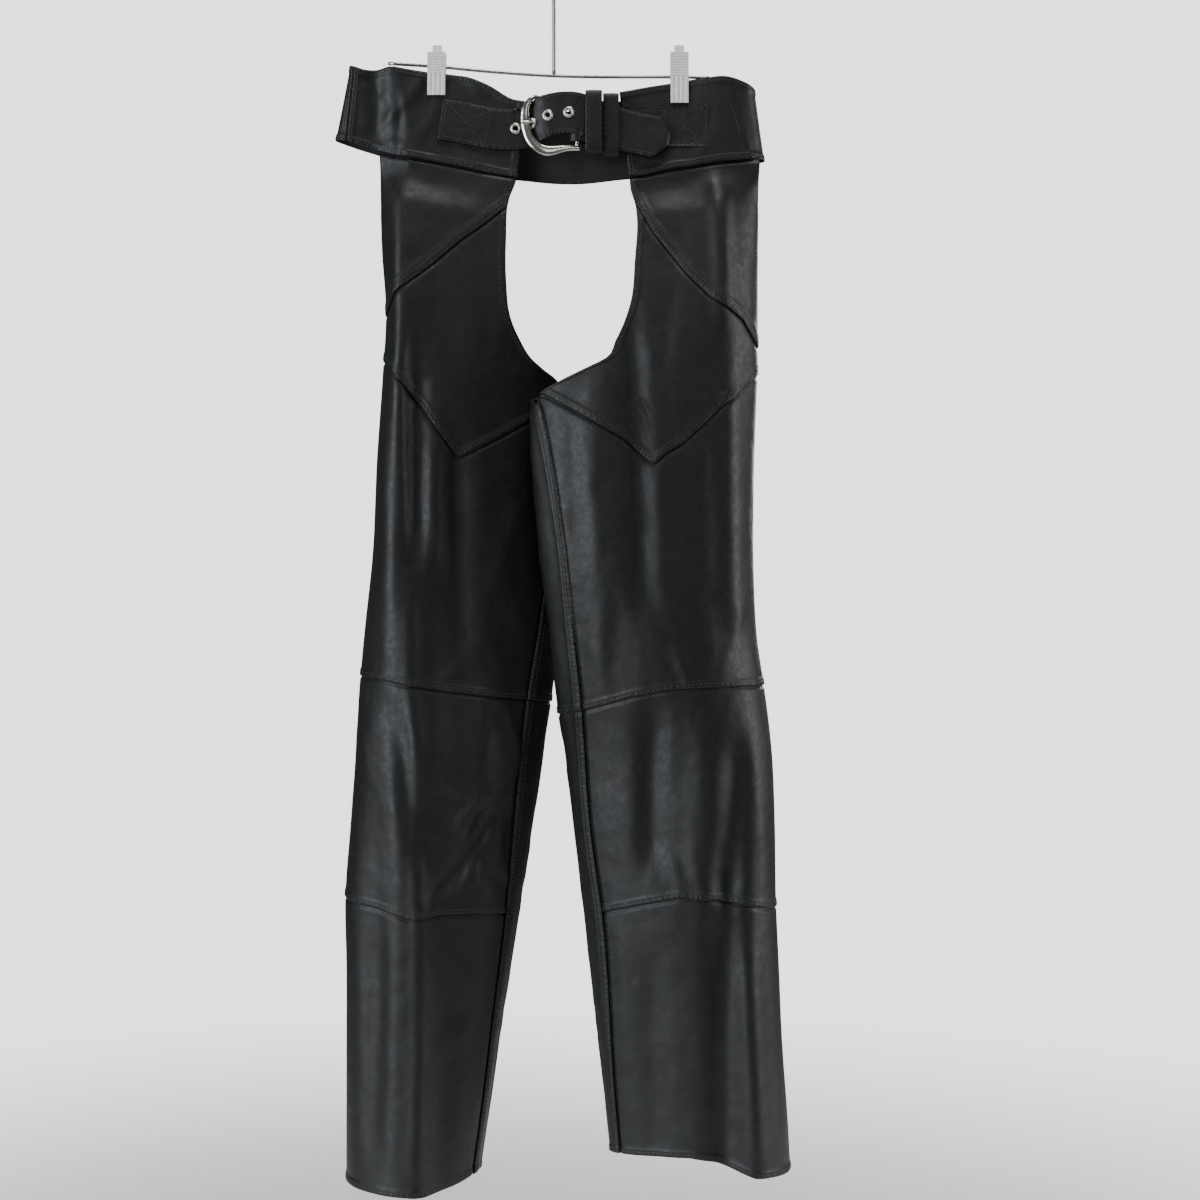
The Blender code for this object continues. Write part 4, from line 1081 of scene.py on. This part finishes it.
def row_points(panel, across, down, inset):
    """Points and normals of a row that runs inset from the panel's edges."""
    where = panel.solve(across, down, inset)
    points, normals, _, _ = panel.place(*where)
    return points, normals


SHARES = np.linspace(0.0, 1.0, ROW_SAMPLES)
NONE = np.zeros(ROW_SAMPLES)
FULL = np.ones(ROW_SAMPLES)


def stitch_leg(side, panels):
    bm = bmesh.new()
    for name, panel in panels.items():
        for inset in SEAM_ROWS[panel.kinds[1]]:
            stitch_row(bm, *row_points(panel, SHARES, FULL, (0, inset, 0, 0)))
        if panel.front and name in ("hip_panel", "thigh_panel"):
            for inset in SEAM_ROWS["turned"]:
                stitch_row(bm, *row_points(panel, FULL, SHARES, (0, 0, 0, inset)))
        if not panel.front:
            for inset in SEAM_ROWS["lap"]:
                stitch_row(bm, *row_points(panel, NONE, SHARES, (0, 0, inset, 0)))
    piece = finish_piece(side + "_leg_stitches", bm, thread)
    print(piece.name, len(piece.data.polygons), "faces")


stitch_leg("right", right_panels)
stitch_leg("left", left_panels)
bm = bmesh.new()
for yoke in yokes.values():
    inset = SEAM_ROWS["turned"][0]
    stitch_row(bm, *row_points(yoke, SHARES, NONE, (inset, 0, 0, 0)))
    stitch_row(bm, *row_points(yoke, SHARES, FULL, (0, inset, 0, 0)))
    if yoke.kinds[2] == "turned":
        stitch_row(bm, *row_points(yoke, NONE, SHARES, (0, 0, inset, 0)))
    if yoke.kinds[3] == "turned":
        stitch_row(bm, *row_points(yoke, FULL, SHARES, (0, 0, 0, inset)))
yoke_stitches = finish_piece("yoke_stitches", bm, thread)
print(yoke_stitches.name, len(yoke_stitches.data.polygons), "faces")

# %% [markdown]
# The belt is two straps. The billet comes from the wearer's right, bulges over the buckle's
# bar and runs through two keepers to its point. The buckle strap comes from the left, goes
# round the bar and is sewn down behind. Both lie on the yokes, so their routes are given as a
# lift in front of them, and both follow the yokes' slope where they are sewn on.

# %% Routes of the straps: x, lift, drop
BILLET_ROUTE = (
    (-109, 2.1, 194), (-95, 2.1, 196), (-78, 2.1, 199.5), (-60, 2.1, 203), (-45, 2.3, 204), (-33, 2.8, 203),
    (-27, 3.4, 201), (-21, 5.0, 199), (-16, 8.2, 196.8), (-11, 11.0, 194.8), (-4, 13.0, 192), (8, 14.2, 190),
    (20, 14.8, 190.5), (29, 13.6, 193), (34, 12.0, 194.6), (41, 9.9, 197), (52, 8.2, 201), (66, 7.2, 205.5),
    (82, 6.6, 209), (99, 6.4, 212.5),
)
BUCKLE_STRAP_ROUTE = (
    (150, 2.1, 201), (128, 2.1, 201), (104, 2.1, 201), (80, 2.1, 200.5), (58, 2.1, 200), (42, 2.1, 199),
    (31, 2.5, 198.5), (25, 2.8, 198.3),
)
BUCKLE_STRAP_RETURN = ((25, 10.3, 198.3), (31, 8.4, 198.5), (38, 5.9, 199), (45, 5.4, 199.5))
STRAP_THICKNESS = 2.8
STRAP_WALL = 2.7
BILLET_WIDTH = 39.5
BILLET_POINT = 12.0
BUCKLE_STRAP_WIDTH = 38.0
BELT_FLAT = (-40.0, 42.0)
BELT_EASE = 24.0
HEEL_BAR = (22.5, -14.0, 175.0, 221.5)
HEEL_BAR_RADIUS = 2.1
STRAP_WRAP = 3.8
WRAP_ANGLES = (105, 255)
WRAP_DROP = 198.3
FRONT_ROWS = np.concatenate([WAIST[:RIGHT_SIDE_STATION], WAIST[LEFT_SIDE_STATION:]])


def yoke_front(x, drop):
    """How far back the front of the yokes lies, and between their ends a line across the gap."""
    share = np.clip((drop - FRONT_ROWS[:, 2]) / (FRONT_ROWS[:, 5] - FRONT_ROWS[:, 2]), 0, 1)
    found_x = lerp(FRONT_ROWS[:, 0], FRONT_ROWS[:, 3], share)
    found_y = lerp(FRONT_ROWS[:, 1], FRONT_ROWS[:, 4], share)
    order = np.argsort(found_x)
    return np.interp(x, found_x[order], found_y[order])


def on_yoke(route):
    return [(x, yoke_front(x, drop) - lift, drop) for x, lift, drop in route]


def lean(x):
    """How much a strap follows the slope of the yoke: fully where it is sewn, not at the buckle."""
    return max(ease((BELT_FLAT[0] - x) / BELT_EASE + 1), ease((x - BELT_FLAT[1]) / BELT_EASE))


print("the sewn end of the billet lies at y", round(float(on_yoke(BILLET_ROUTE)[0][1]), 1), "mm")

# %% [markdown]
# A strap has one long smooth line and the same width all along, so a place on it is a share of
# its length and a distance across. Its sheet is bent along the line, and its edges are rolled
# over, with a pressed groove beside them, as a creasing iron leaves it.

# %% Make a strap
LINE_SAMPLES = 400
TIP_SHARE = 0.02
TIP_ANGLE = 1.35
EDGE_ROLL = 0.5
PRESSED_WIDTH = 0.7
STRAP_EDGE = (1.0, 0.2, 3.0)


def edge_sink(edge, roll_width, groove_depth, groove_place):
    """How far a face sinks at its rolled edge and in the groove pressed beside it."""
    roll = EDGE_ROLL * math.exp(-(edge / roll_width) ** 2)
    return roll + groove_depth * math.exp(-((edge - groove_place) / PRESSED_WIDTH) ** 2)


class Strap:
    """A strap along a route. A place on it is a share along it and millimetres across it."""

    def __init__(self, route, width, point_length=0.0):
        self.route = np.array(route, float)
        self.width = width
        self.point_length = point_length
        self.shares = np.linspace(0, 1, LINE_SAMPLES)
        line = np.array([self.centre(share) for share in self.shares])
        self.lengths = np.concatenate([[0.0], np.cumsum(square_length(np.diff(line, axis=0)))])

    def centre(self, share):
        at = share * (len(self.route) - 1)
        return np.array([smooth(range(len(self.route)), self.route[:, k], at) for k in range(3)])

    def share_at(self, millimetres):
        return float(np.interp(millimetres, self.lengths, self.shares))

    def place(self, share, across, lift):
        """Point that lies across mm below the middle and lift mm in front of it, with its normal."""
        centre = Vector(self.centre(share))
        step = 0.05 / (len(self.route) - 1)
        run = Vector(self.centre(share + step) - self.centre(share - step)).normalized()
        flat = Vector((run.x, run.y, 0)).normalized()
        back = Vector((-flat.y, flat.x, 0))
        down = back.cross(run).normalized()
        if down.z < 0:
            down.negate()
        shape = centre + down * across - back * lift
        shape.y += lean(centre.x) * float(yoke_front(centre.x, shape.z) - yoke_front(centre.x, centre.z))
        if self.point_length and share > 1 - TIP_SHARE:
            tip = ease((share - 1 + TIP_SHARE) / TIP_SHARE)
            shape += run * self.point_length * min(1.0, TIP_ANGLE * (1 - abs(2 * across / self.width))) * tip
        return Vector((shape.x, shape.y, -shape.z)), -back


def strap_piece(name, replaced, strap, stations):
    bm = bmesh.new()
    bmesh.ops.create_grid(bm, x_segments=stations, y_segments=22, size=0.5)
    away_layer, run_layer = seam_layers(bm)
    for v in bm.verts:
        across = math.sin(v.co.y * math.pi) / 2 * strap.width
        share = v.co.x + 0.5
        edge = strap.width / 2 - abs(across)
        length = float(np.interp(share, strap.shares, strap.lengths))
        lift = STRAP_THICKNESS / 2 - edge_sink(edge, *STRAP_EDGE)
        v[away_layer] = edge
        v[run_layer] = length
        v.co = strap.place(share, across, lift)[0] * MM
    bmesh.ops.recalc_face_normals(bm, faces=bm.faces[:])
    sewn_end = strap.place(0.1, 0, 0)[0] * MM
    nearest = min(bm.faces, key=lambda face: (face.calc_center_median() - sewn_end).length)
    if nearest.normal.y > 0:
        bmesh.ops.reverse_faces(bm, faces=bm.faces[:])
    piece = finish_piece(name, bm, leather, (replaced,))
    thicken(piece, STRAP_WALL)
    print(name, "is", round(strap.lengths[-1] + strap.point_length), "mm long")
    return piece


wrap = []
for angle in np.radians(np.linspace(*WRAP_ANGLES, 7)):
    x = HEEL_BAR[0] + STRAP_WRAP * math.cos(angle)
    y = HEEL_BAR[1] + STRAP_WRAP * math.sin(angle)
    wrap.append((x, y, WRAP_DROP))
billet = Strap(on_yoke(BILLET_ROUTE), BILLET_WIDTH, BILLET_POINT)
buckle_strap = Strap(on_yoke(BUCKLE_STRAP_ROUTE) + wrap + on_yoke(BUCKLE_STRAP_RETURN), BUCKLE_STRAP_WIDTH)
billet_piece = strap_piece("billet_hide", "billet", billet, 150)
buckle_strap_piece = strap_piece("buckle_strap_hide", "buckle_strap", buckle_strap, 170)

# %% [markdown]
# Both straps are stitched along their edges, and each is sewn to its yoke by a box with a
# cross in it, the usual strong patch on belts and bags.

# %% Strap stitches
EDGE_INSET = 3.0
STRAP_PITCH = 3.4
LINE_PLACES = 60
BILLET_BOX = (4, 47)
BUCKLE_STRAP_BOX = (4, 44)
BUCKLE_STRAP_ROWS_END = 104


def strap_row(bm, strap, start, finish):
    """Stitches from one place on a strap to another, each as millimetres along and across."""
    points = []
    normals = []
    for t in np.linspace(0, 1, LINE_PLACES):
        share = strap.share_at(lerp(start[0], finish[0], t))
        point, normal = strap.place(share, lerp(start[1], finish[1], t), STRAP_THICKNESS / 2)
        points.append(point)
        normals.append(normal)
    stitch_row(bm, np.array(points), np.array(normals), STRAP_PITCH)


bm = bmesh.new()
for strap, box, last in ((billet, BILLET_BOX, billet.lengths[-1]),
                         (buckle_strap, BUCKLE_STRAP_BOX, BUCKLE_STRAP_ROWS_END)):
    edge = strap.width / 2 - EDGE_INSET
    for side in (-1, 1):
        strap_row(bm, strap, (box[0], side * edge), (last, side * edge))
    for along in box:
        strap_row(bm, strap, (along, -edge), (along, edge))
    strap_row(bm, strap, (box[0], -edge), (box[1], edge))
    strap_row(bm, strap, (box[0], edge), (box[1], -edge))
strap_stitches = finish_piece("strap_stitches", bm, thread)
print(strap_stitches.name, len(strap_stitches.data.polygons), "faces")

# %% [markdown]
# The strap is holed where the eyelets and the prong go through. A Boolean cuts each hole, and
# the result is applied so that no cutter is left in the scene.

# %% Holes in the straps
EYELETS = ((-36.5, 203.4, 0.5), (-21.0, 199.0, 1.1), (-5.5, 192.6, 0.4), (14.5, 190.2, 0.4))
STRAP_HOLE = 2.9
CUTTER_DEPTH = 12
PRONG_SLOT = ((15.5, -22.0, 191.0), (31.5, -6.0, 199.0))
billet_rows = np.array(on_yoke(BILLET_ROUTE))


def billet_middle(x):
    return float(smooth(billet_rows[:, 0], billet_rows[:, 1], x))


def billet_front(x):
    """Place and slope of the billet's front face at x."""
    slope = (billet_middle(x + 2) - billet_middle(x - 2)) / 4
    return billet_middle(x) - STRAP_THICKNESS / 2 * math.sqrt(1 + slope ** 2), math.atan(slope)


def facing(x, y, drop, angle):
    """Placement that turns a piece made round Z to face the front, following the strap's slope."""
    turn = Matrix.Rotation(angle, 4, "Z") @ Matrix.Rotation(math.radians(90), 4, "X")
    return Matrix.Translation(Vector((x, y, -drop)) * MM) @ turn


def cut_through(piece, cutter_bm):
    mesh = bpy.data.meshes.new("cutter")
    cutter_bm.to_mesh(mesh)
    cutter_bm.free()
    cutter = bpy.data.objects.new("cutter", mesh)
    bpy.context.scene.collection.objects.link(cutter)
    hole = piece.modifiers.new("hole", "BOOLEAN")
    hole.operation = "DIFFERENCE"
    hole.solver = "EXACT"
    hole.object = cutter
    seen = piece.evaluated_get(bpy.context.evaluated_depsgraph_get())
    finished = bpy.data.meshes.new_from_object(seen)
    piece.modifiers.clear()
    piece.data = finished
    bpy.data.objects.remove(cutter)
    print(piece.name, "after its cut:", len(finished.polygons), "faces")


bm = bmesh.new()
for x, drop, _ in EYELETS:
    y, angle = billet_front(x)
    bmesh.ops.create_cone(bm, cap_ends=True, segments=24, radius1=STRAP_HOLE * MM, radius2=STRAP_HOLE * MM,
                          depth=CUTTER_DEPTH * MM, matrix=facing(x, y, drop, angle))
cut_through(billet_piece, bm)
bm = bmesh.new()
bmesh.ops.create_cube(bm, size=1.0)
for v in bm.verts:
    share = v.co + Vector((0.5, 0.5, 0.5))
    x, y, drop = [lerp(PRONG_SLOT[0][k], PRONG_SLOT[1][k], share[k]) for k in range(3)]
    v.co = Vector((x, y, -drop)) * MM
cut_through(buckle_strap_piece, bm)

# %% [markdown]
# An eyelet is a pressed ring with a rolled, domed face. Its half section is spun round its axis.

# %% Eyelets
EYELET_PROFILE = (
    (2.6, 0.9), (2.6, -0.55), (2.9, -1.0), (3.5, -1.25), (4.2, -1.15), (4.8, -0.8), (5.2, -0.25),
    (5.3, 0.1),
)
EYELET_STEPS = 40
EYELET_WALL = 0.35
SAME_PLACE = 0.00001

for number, (x, drop, stand_off) in enumerate(EYELETS, 1):
    y, angle = billet_front(x)
    bm = bmesh.new()
    verts = [bm.verts.new((radius * MM, 0, (stand_off - depth) * MM)) for radius, depth in EYELET_PROFILE]
    edges = [bm.edges.new(pair) for pair in zip(verts, verts[1:])]
    bmesh.ops.spin(bm, geom=verts + edges, angle=math.tau, steps=EYELET_STEPS, axis=(0, 0, 1), use_merge=True)
    bmesh.ops.remove_doubles(bm, verts=bm.verts, dist=SAME_PLACE)
    bmesh.ops.recalc_face_normals(bm, faces=bm.faces[:])
    bmesh.ops.transform(bm, verts=bm.verts, matrix=facing(x, y, drop, angle))
    ring = finish_piece("eyelet_%d_ring" % number, bm, eyelet_nickel, ("eyelet_%d" % number,))
    thicken(ring, EYELET_WALL, 0)
    print(ring.name, "faces the front at", round(math.degrees(angle)), "degrees")

# %% [markdown]
# Rods and the buckle are swept: a ring of points is extruded from station to station along a
# route, and every new ring is set square to it. The buckle's limb is broad at the foot of the
# bow and slim at the top, so each station has its own width.

# %% Sweep a section along a route
def extrude_ring(bm, loop, angles):
    """Extrude a closed loop of edges; each new point takes the angle of the one it came from."""
    grown = bmesh.ops.extrude_edge_only(bm, edges=loop)["geom"]
    ring = [item for item in grown if isinstance(item, bmesh.types.BMVert)]
    edges = [item for item in grown if isinstance(item, bmesh.types.BMEdge)
             and item.verts[0] in ring and item.verts[1] in ring]
    taken = {}
    for v in ring:
        taken[v] = next(angles[edge.other_vert(v)] for edge in v.link_edges if edge.other_vert(v) in angles)
    return ring, edges, taken


def sweep(bm, stations, sides, fixed_up=None):
    """Sweep an oval along stations of centre, half width and half depth, in millimetres."""
    centres = [Vector((x, y, -drop)) for x, y, drop, _, _ in stations]
    made = bmesh.ops.create_circle(bm, cap_ends=True, segments=sides, radius=1.0)
    ring = made["verts"]
    angles = {v: math.atan2(v.co.y, v.co.x) for v in ring}
    loop = [edge for edge in bm.edges if edge.verts[0] in angles and edge.verts[1] in angles]
    aside = None
    for k, (centre, station) in enumerate(zip(centres, stations)):
        forward = (centres[min(k + 1, len(centres) - 1)] - centres[max(k - 1, 0)]).normalized()
        if fixed_up is not None:
            up = fixed_up
            aside = up.cross(forward).normalized()
        else:
            aside = forward.orthogonal() if aside is None else aside
            aside = (aside - forward * aside.dot(forward)).normalized()
            up = forward.cross(aside)
        if k:
            ring, loop, angles = extrude_ring(bm, loop, angles)
        for v in ring:
            offset = aside * math.cos(angles[v]) * station[3] + up * math.sin(angles[v]) * station[4]
            v.co = (centre + offset) * MM
    bmesh.ops.contextual_create(bm, geom=loop)
    bmesh.ops.recalc_face_normals(bm, faces=bm.faces[:])


def smooth_route(rows, parts):
    rows = np.array(rows, float)
    places = np.linspace(0, len(rows) - 1, (len(rows) - 1) * parts + 1)
    columns = [smooth(range(len(rows)), rows[:, k], places) for k in range(rows.shape[1])]
    return [tuple(float(v) for v in row) for row in np.stack(columns, axis=-1)]


def rod(route, radius):
    """Stations of a round rod along a route."""
    return [(x, y, drop, radius, radius) for x, y, drop in route]


print("a route of 3 rows in 4 parts each has", len(smooth_route(((0, 0), (1, 2), (2, 0)), 4)), "places")

# %% [markdown]
# The buckle is a cast horseshoe of nickel-plated zinc on a heel bar, with a bent wire prong.

# %% Buckle
FRAME_ROUTE = (
    (25.5, -14.0, 222.5, 2.6), (12, -15.5, 223, 3.0), (0, -17.5, 225.5, 4.4), (-8, -18.8, 226, 4.8),
    (-16, -19.4, 222.5, 4.6), (-23, -19.3, 214.5, 4.4), (-26.5, -18.4, 204, 4.3), (-27.5, -17.4, 193, 4.3),
    (-26.5, -17.0, 184, 3.6), (-21, -15.8, 175.4, 2.2), (-14.5, -12.6, 173.4, 2.0), (-8, -11.8, 173.6, 2.4),
    (2, -12.2, 173.6, 2.6), (14, -13.2, 173.8, 2.6), (25.5, -14.0, 174, 2.6),
)
FRAME_HALF_DEPTH = 2.1
PRONG_ROUTE = (
    (20.0, -14.0, 195), (8, -15.5, 196), (-4, -14.2, 197), (-12, -12.2, 197.9),
    (-17.5, -10.6, 198.6), (-19.8, -12.0, 198.9), (-20.8, -16, 199.1), (-22.0, -20.5, 199.3),
    (-26, -21.7, 199.4), (-31, -21.7, 199.6),
)
PRONG_RADIUS = 1.25

bm = bmesh.new()
limb = [(x, y, drop, wide, FRAME_HALF_DEPTH) for x, y, drop, wide in smooth_route(FRAME_ROUTE, 8)]
sweep(bm, limb, 20, Vector((0, -1, 0)))
heel_bar = [(HEEL_BAR[0], HEEL_BAR[1], drop) for drop in np.linspace(*HEEL_BAR[2:], 8)]
sweep(bm, rod(heel_bar, HEEL_BAR_RADIUS), 20)
buckle = finish_piece("buckle_bow", bm, nickel, ("buckle_frame",))
bm = bmesh.new()
sweep(bm, rod(smooth_route(PRONG_ROUTE, 6), PRONG_RADIUS), 16)
prong = finish_piece("buckle_prong_wire", bm, nickel, ("buckle_prong",))
print("bow", len(buckle.data.polygons), "faces, prong", len(prong.data.polygons))

# %% [markdown]
# A keeper is a narrow strip of the same hide closed into a loop. Its section is a circle pushed
# towards a flat oval, extruded across its width, with its edges rolled over a little.

# %% Keepers
KEEPERS = (
    ("keeper_1", 38.4, 16.0, 198.3, 30.0, -3.1, 18.6),
    ("keeper_2", 54.8, 15.0, 200.4, 30.0, -3.5, 13.6),
)
KEEPER_WALL = 1.9
KEEPER_STEPS = 20
KEEPER_EDGE = (0.9, 0.22, 2.8)
KEEPER_ROUNDNESS = (0.75, 0.3)


def squared(value, rounding):
    return math.copysign(abs(value) ** rounding, value)


for name, x, width, drop, half_height, back, front in KEEPERS:
    middle = float(yoke_front(x, drop)) - (back + front) / 2
    half_depth = (front - back) / 2
    bm = bmesh.new()
    away_layer, run_layer = seam_layers(bm)
    ring = bmesh.ops.create_circle(bm, cap_ends=False, segments=72, radius=1.0)["verts"]
    angles = {v: math.atan2(v.co.y, v.co.x) for v in ring}
    loop = bm.edges[:]
    for step in range(KEEPER_STEPS + 1):
        if step:
            ring, loop, angles = extrude_ring(bm, loop, angles)
        across = math.sin(lerp(-0.5, 0.5, step / KEEPER_STEPS) * math.pi) / 2 * width
        edge = width / 2 - abs(across)
        inset = edge_sink(edge, *KEEPER_EDGE)
        for v in ring:
            up = squared(math.sin(angles[v]), KEEPER_ROUNDNESS[0]) * (half_height - inset)
            out = squared(math.cos(angles[v]), KEEPER_ROUNDNESS[1]) * (half_depth - inset)
            v.co = Vector((x + across, middle + out, -drop - up)) * MM
            v[away_layer] = edge
            v[run_layer] = up
    bmesh.ops.recalc_face_normals(bm, faces=bm.faces[:])
    keeper = finish_piece(name + "_hide", bm, leather, (name,))
    thicken(keeper, KEEPER_WALL)
    print(keeper.name, len(keeper.data.polygons), "faces")

# %% [markdown]
# The hanger is one bar and one hook of steel wire. Both are swept along their routes: the bar
# slopes down a little to the wearer's left, and the hook is a stem that runs out into an arc.

# %% Hanger wire
BAR_ROUTE = ((-160, 138), (-113, 141), (-60, 146), (0, 150), (60, 151), (121, 151), (150, 152))
BAR_RADIUS = 1.6
STEM_ROUTE = ((0, 148), (0, 120), (0, 90), (0, 68), (4, 52), (14, 38))
HOOK_RADIUS = 20.0
HOOK_WIRE_RADIUS = 2.0
HOOK_ARC = (-12, 205)

bm = bmesh.new()
sweep(bm, rod([(x, 0, drop) for x, drop in smooth_route(BAR_ROUTE, 6)], BAR_RADIUS), 16)
bar_wire = finish_piece("hanger_bar_wire", bm, steel_wire, ("hanger_bar",))
reach = HOOK_RADIUS + HOOK_WIRE_RADIUS
hook_route = list(STEM_ROUTE)
for angle in np.radians(np.linspace(*HOOK_ARC, 10)):
    hook_route.append((reach * math.cos(angle), HOOK_RADIUS - reach * math.sin(angle)))
bm = bmesh.new()
sweep(bm, rod([(x, 0, drop) for x, drop in smooth_route(hook_route, 5)], HOOK_WIRE_RADIUS), 16)
hook_wire = finish_piece("hanger_hook_wire", bm, steel_wire, ("hanger_hook",))
print("bar", len(bar_wire.data.polygons), "faces, hook", len(hook_wire.data.polygons))

# %% [markdown]
# A clip is two moulded jaws pinched together over the bar. Their thumb plates have ribs across
# and their grips have grooves down, so that fingers hold them. Each jaw is a fine grid laid on
# the profile of its solid, and the pattern is sunk into it, because ribs as small as these
# catch the light one by one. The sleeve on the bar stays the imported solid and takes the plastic.

# %% Clips
CLIPS = (("right", -113.0, 147.5, 170.5), ("left", 121.0, 156.0, 178.0))
FRONT_JAW = ((128, 3.7), (142, 3.7))
BACK_JAW = ((119, 5.2), (126.5, 4.2), (127.5, 4.0), (136, 3.7), (142, 3.7))
GRIPS = {"front": (3.8, 6.5), "back": (4.4, 7.1)}
JAW_HALF = 8.7
HANDLE_HALF = 4.6
JAW_THICKNESS = 2.6
JAW_WALL = 1.5
JAW_TOP = 127.0
THUMB_SHARE = 0.48
RIM_WIDTH = 1.3
RIM_ROLL = 0.7
RIM_DEPTH = 0.6
RIB_PITCH = 2.6
RIB_DEPTH = 0.55
GROOVES = (-4.4, 0.0, 4.4)
GROOVE_HALF = 0.85
GROOVE_DEPTH = 1.1


def jaw_relief(x, drop, top, foot):
    """How deep the moulded pattern of a jaw sinks at a place on its outer face."""
    middle = lerp(top, foot, THUMB_SHARE)
    rim = max(0.0, min(JAW_HALF - abs(x), drop - top, foot - drop))
    if rim < RIM_WIDTH:
        return RIM_DEPTH * max(0.0, 1 - rim / RIM_ROLL) ** 2
    if drop < middle:
        return RIB_DEPTH * (0.5 + 0.5 * math.cos(math.tau * (drop - top) / RIB_PITCH))
    return GROOVE_DEPTH * max(math.exp(-((x - groove) / GROOVE_HALF) ** 2) for groove in GROOVES)


def jaw_piece(side, name, x, edge, foot):
    rows = (FRONT_JAW if name == "front" else BACK_JAW) + ((edge, GRIPS[name][0]), (foot, GRIPS[name][1]))
    out = -1 if name == "front" else 1
    drops = [row[0] for row in rows]
    faces = [row[1] for row in rows]
    top = drops[0]
    bm = bmesh.new()
    bmesh.ops.create_grid(bm, x_segments=40, y_segments=96, size=0.5)
    for v in bm.verts:
        drop = lerp(top, foot, 0.5 - v.co.y)
        half = HANDLE_HALF if drop < JAW_TOP else JAW_HALF
        local = 2 * v.co.x * half
        sunk = jaw_relief(local, drop, max(top, JAW_TOP), foot)
        depth = float(np.interp(drop, drops, faces)) + JAW_THICKNESS - sunk
        v.co = Vector((x + local, out * depth, -drop)) * MM
    bm.normal_update()
    bm.faces.ensure_lookup_table()
    if bm.faces[0].normal.y * out < 0:
        bmesh.ops.reverse_faces(bm, faces=bm.faces[:])
    replaced = "%s_clip_%s_jaw" % (side, name)
    jaw = finish_piece("%s_%s_jaw_moulding" % (side, name), bm, plastic, (replaced,))
    thicken(jaw, JAW_WALL)
    return jaw


for side, x, edge, foot in CLIPS:
    for name in ("front", "back"):
        jaw = jaw_piece(side, name, x, edge, foot)
    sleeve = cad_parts[side + "_clip_sleeve"]
    for spot in sleeve.material_slots:
        spot.material = plastic
    print(side, "clip has", len(jaw.data.polygons), "faces on each jaw")

# %% [markdown]
# The stage is a plain pale floor below the hems and soft studio light, stronger from the front
# left, as in the photograph: the facets that face left are grey and the others nearly black.
# The floor fades out towards its rim, so that no horizon shows behind the garment.

# %% Floor, world and lights
FLOOR_DROP = 1340.0
FLOOR_RADIUS = 1.7
FLOOR_FADE = (0.4, 0.97 * FLOOR_RADIUS)
ROOM_LIGHT = 0.1
WALL_SEEN = 2.6

# Matt paint takes only a soft shade, so the floor stays quiet.
floor_paint = speckled("pale_painted_floor", {}, "#f1f1ef", "#f4f4f2", 40.0, (0.8, 0.9), 0.01)
tree = floor_paint.node_tree
spot = add_node(tree, "ShaderNodeTexCoord").outputs["Object"]
flat_spot = add_node(tree, "ShaderNodeVectorMath", {"operation": "MULTIPLY"}, {1: (1, 1, 0)}, {0: spot})
radius = add_node(tree, "ShaderNodeVectorMath", {"operation": "LENGTH"}, links={0: flat_spot.outputs[0]})
fade = add_node(tree, "ShaderNodeMapRange", {"interpolation_type": "SMOOTHSTEP"},
                {"From Min": FLOOR_FADE[0], "From Max": FLOOR_FADE[1], "To Min": 1.0, "To Max": 0.0},
                {"Value": radius.outputs["Value"]})
tree.links.new(fade.outputs[0], tree.nodes["Principled BSDF"].inputs["Alpha"])
bm = bmesh.new()
bmesh.ops.create_circle(bm, cap_ends=True, segments=96, radius=FLOOR_RADIUS)
bmesh.ops.translate(bm, verts=bm.verts, vec=(0, 0, -FLOOR_DROP * MM))
mesh = bpy.data.meshes.new("floor")
bm.to_mesh(mesh)
bm.free()
mesh.materials.append(floor_paint)
floor = bpy.data.objects.new("floor", mesh)
bpy.context.scene.collection.objects.link(floor)

world = bpy.data.worlds.new("studio")
world.use_nodes = True
bpy.context.scene.world = world
backdrop = world.node_tree.nodes["Background"]
backdrop.inputs["Color"].default_value = linear("#f6f6f5")
room = add_node(world.node_tree, "ShaderNodeMapRange", values={"To Min": ROOM_LIGHT, "To Max": WALL_SEEN},
                links={"Value": add_node(world.node_tree, "ShaderNodeLightPath").outputs["Is Camera Ray"]})
world.node_tree.links.new(room.outputs[0], backdrop.inputs["Strength"])


def soft_light(name, place, aim, size, power, colour):
    data = bpy.data.lights.new(name, "AREA")
    data.shape = "RECTANGLE"
    data.size, data.size_y = size
    data.energy = power
    data.color = linear(colour)[:3]
    light = bpy.data.objects.new(name, data)
    light.location = place
    light.rotation_euler = (Vector(aim) - Vector(place)).to_track_quat("-Z", "Y").to_euler()
    bpy.context.scene.collection.objects.link(light)
    print(name, power, "W")


MIDDLE = (0.02, 0.0, -0.65)
soft_light("window", (-2.2, -1.7, -0.3), MIDDLE, (1.5, 2.2), 70, "#f2f8ff")
soft_light("front", (0.9, -3.2, 0.3), MIDDLE, (0.5, 1.2), 5, "#fbfdff")
soft_light("above", (0.2, -0.6, 1.8), (0.01, 0.0, -0.3), (1.0, 1.0), 26, "#ffffff")
soft_light("side", (2.6, -0.1, -0.3), MIDDLE, (0.9, 2.0), 40, "#f8faff")
soft_light("behind", (0.8, 2.4, 0.2), MIDDLE, (1.5, 1.5), 60, "#ffffff")
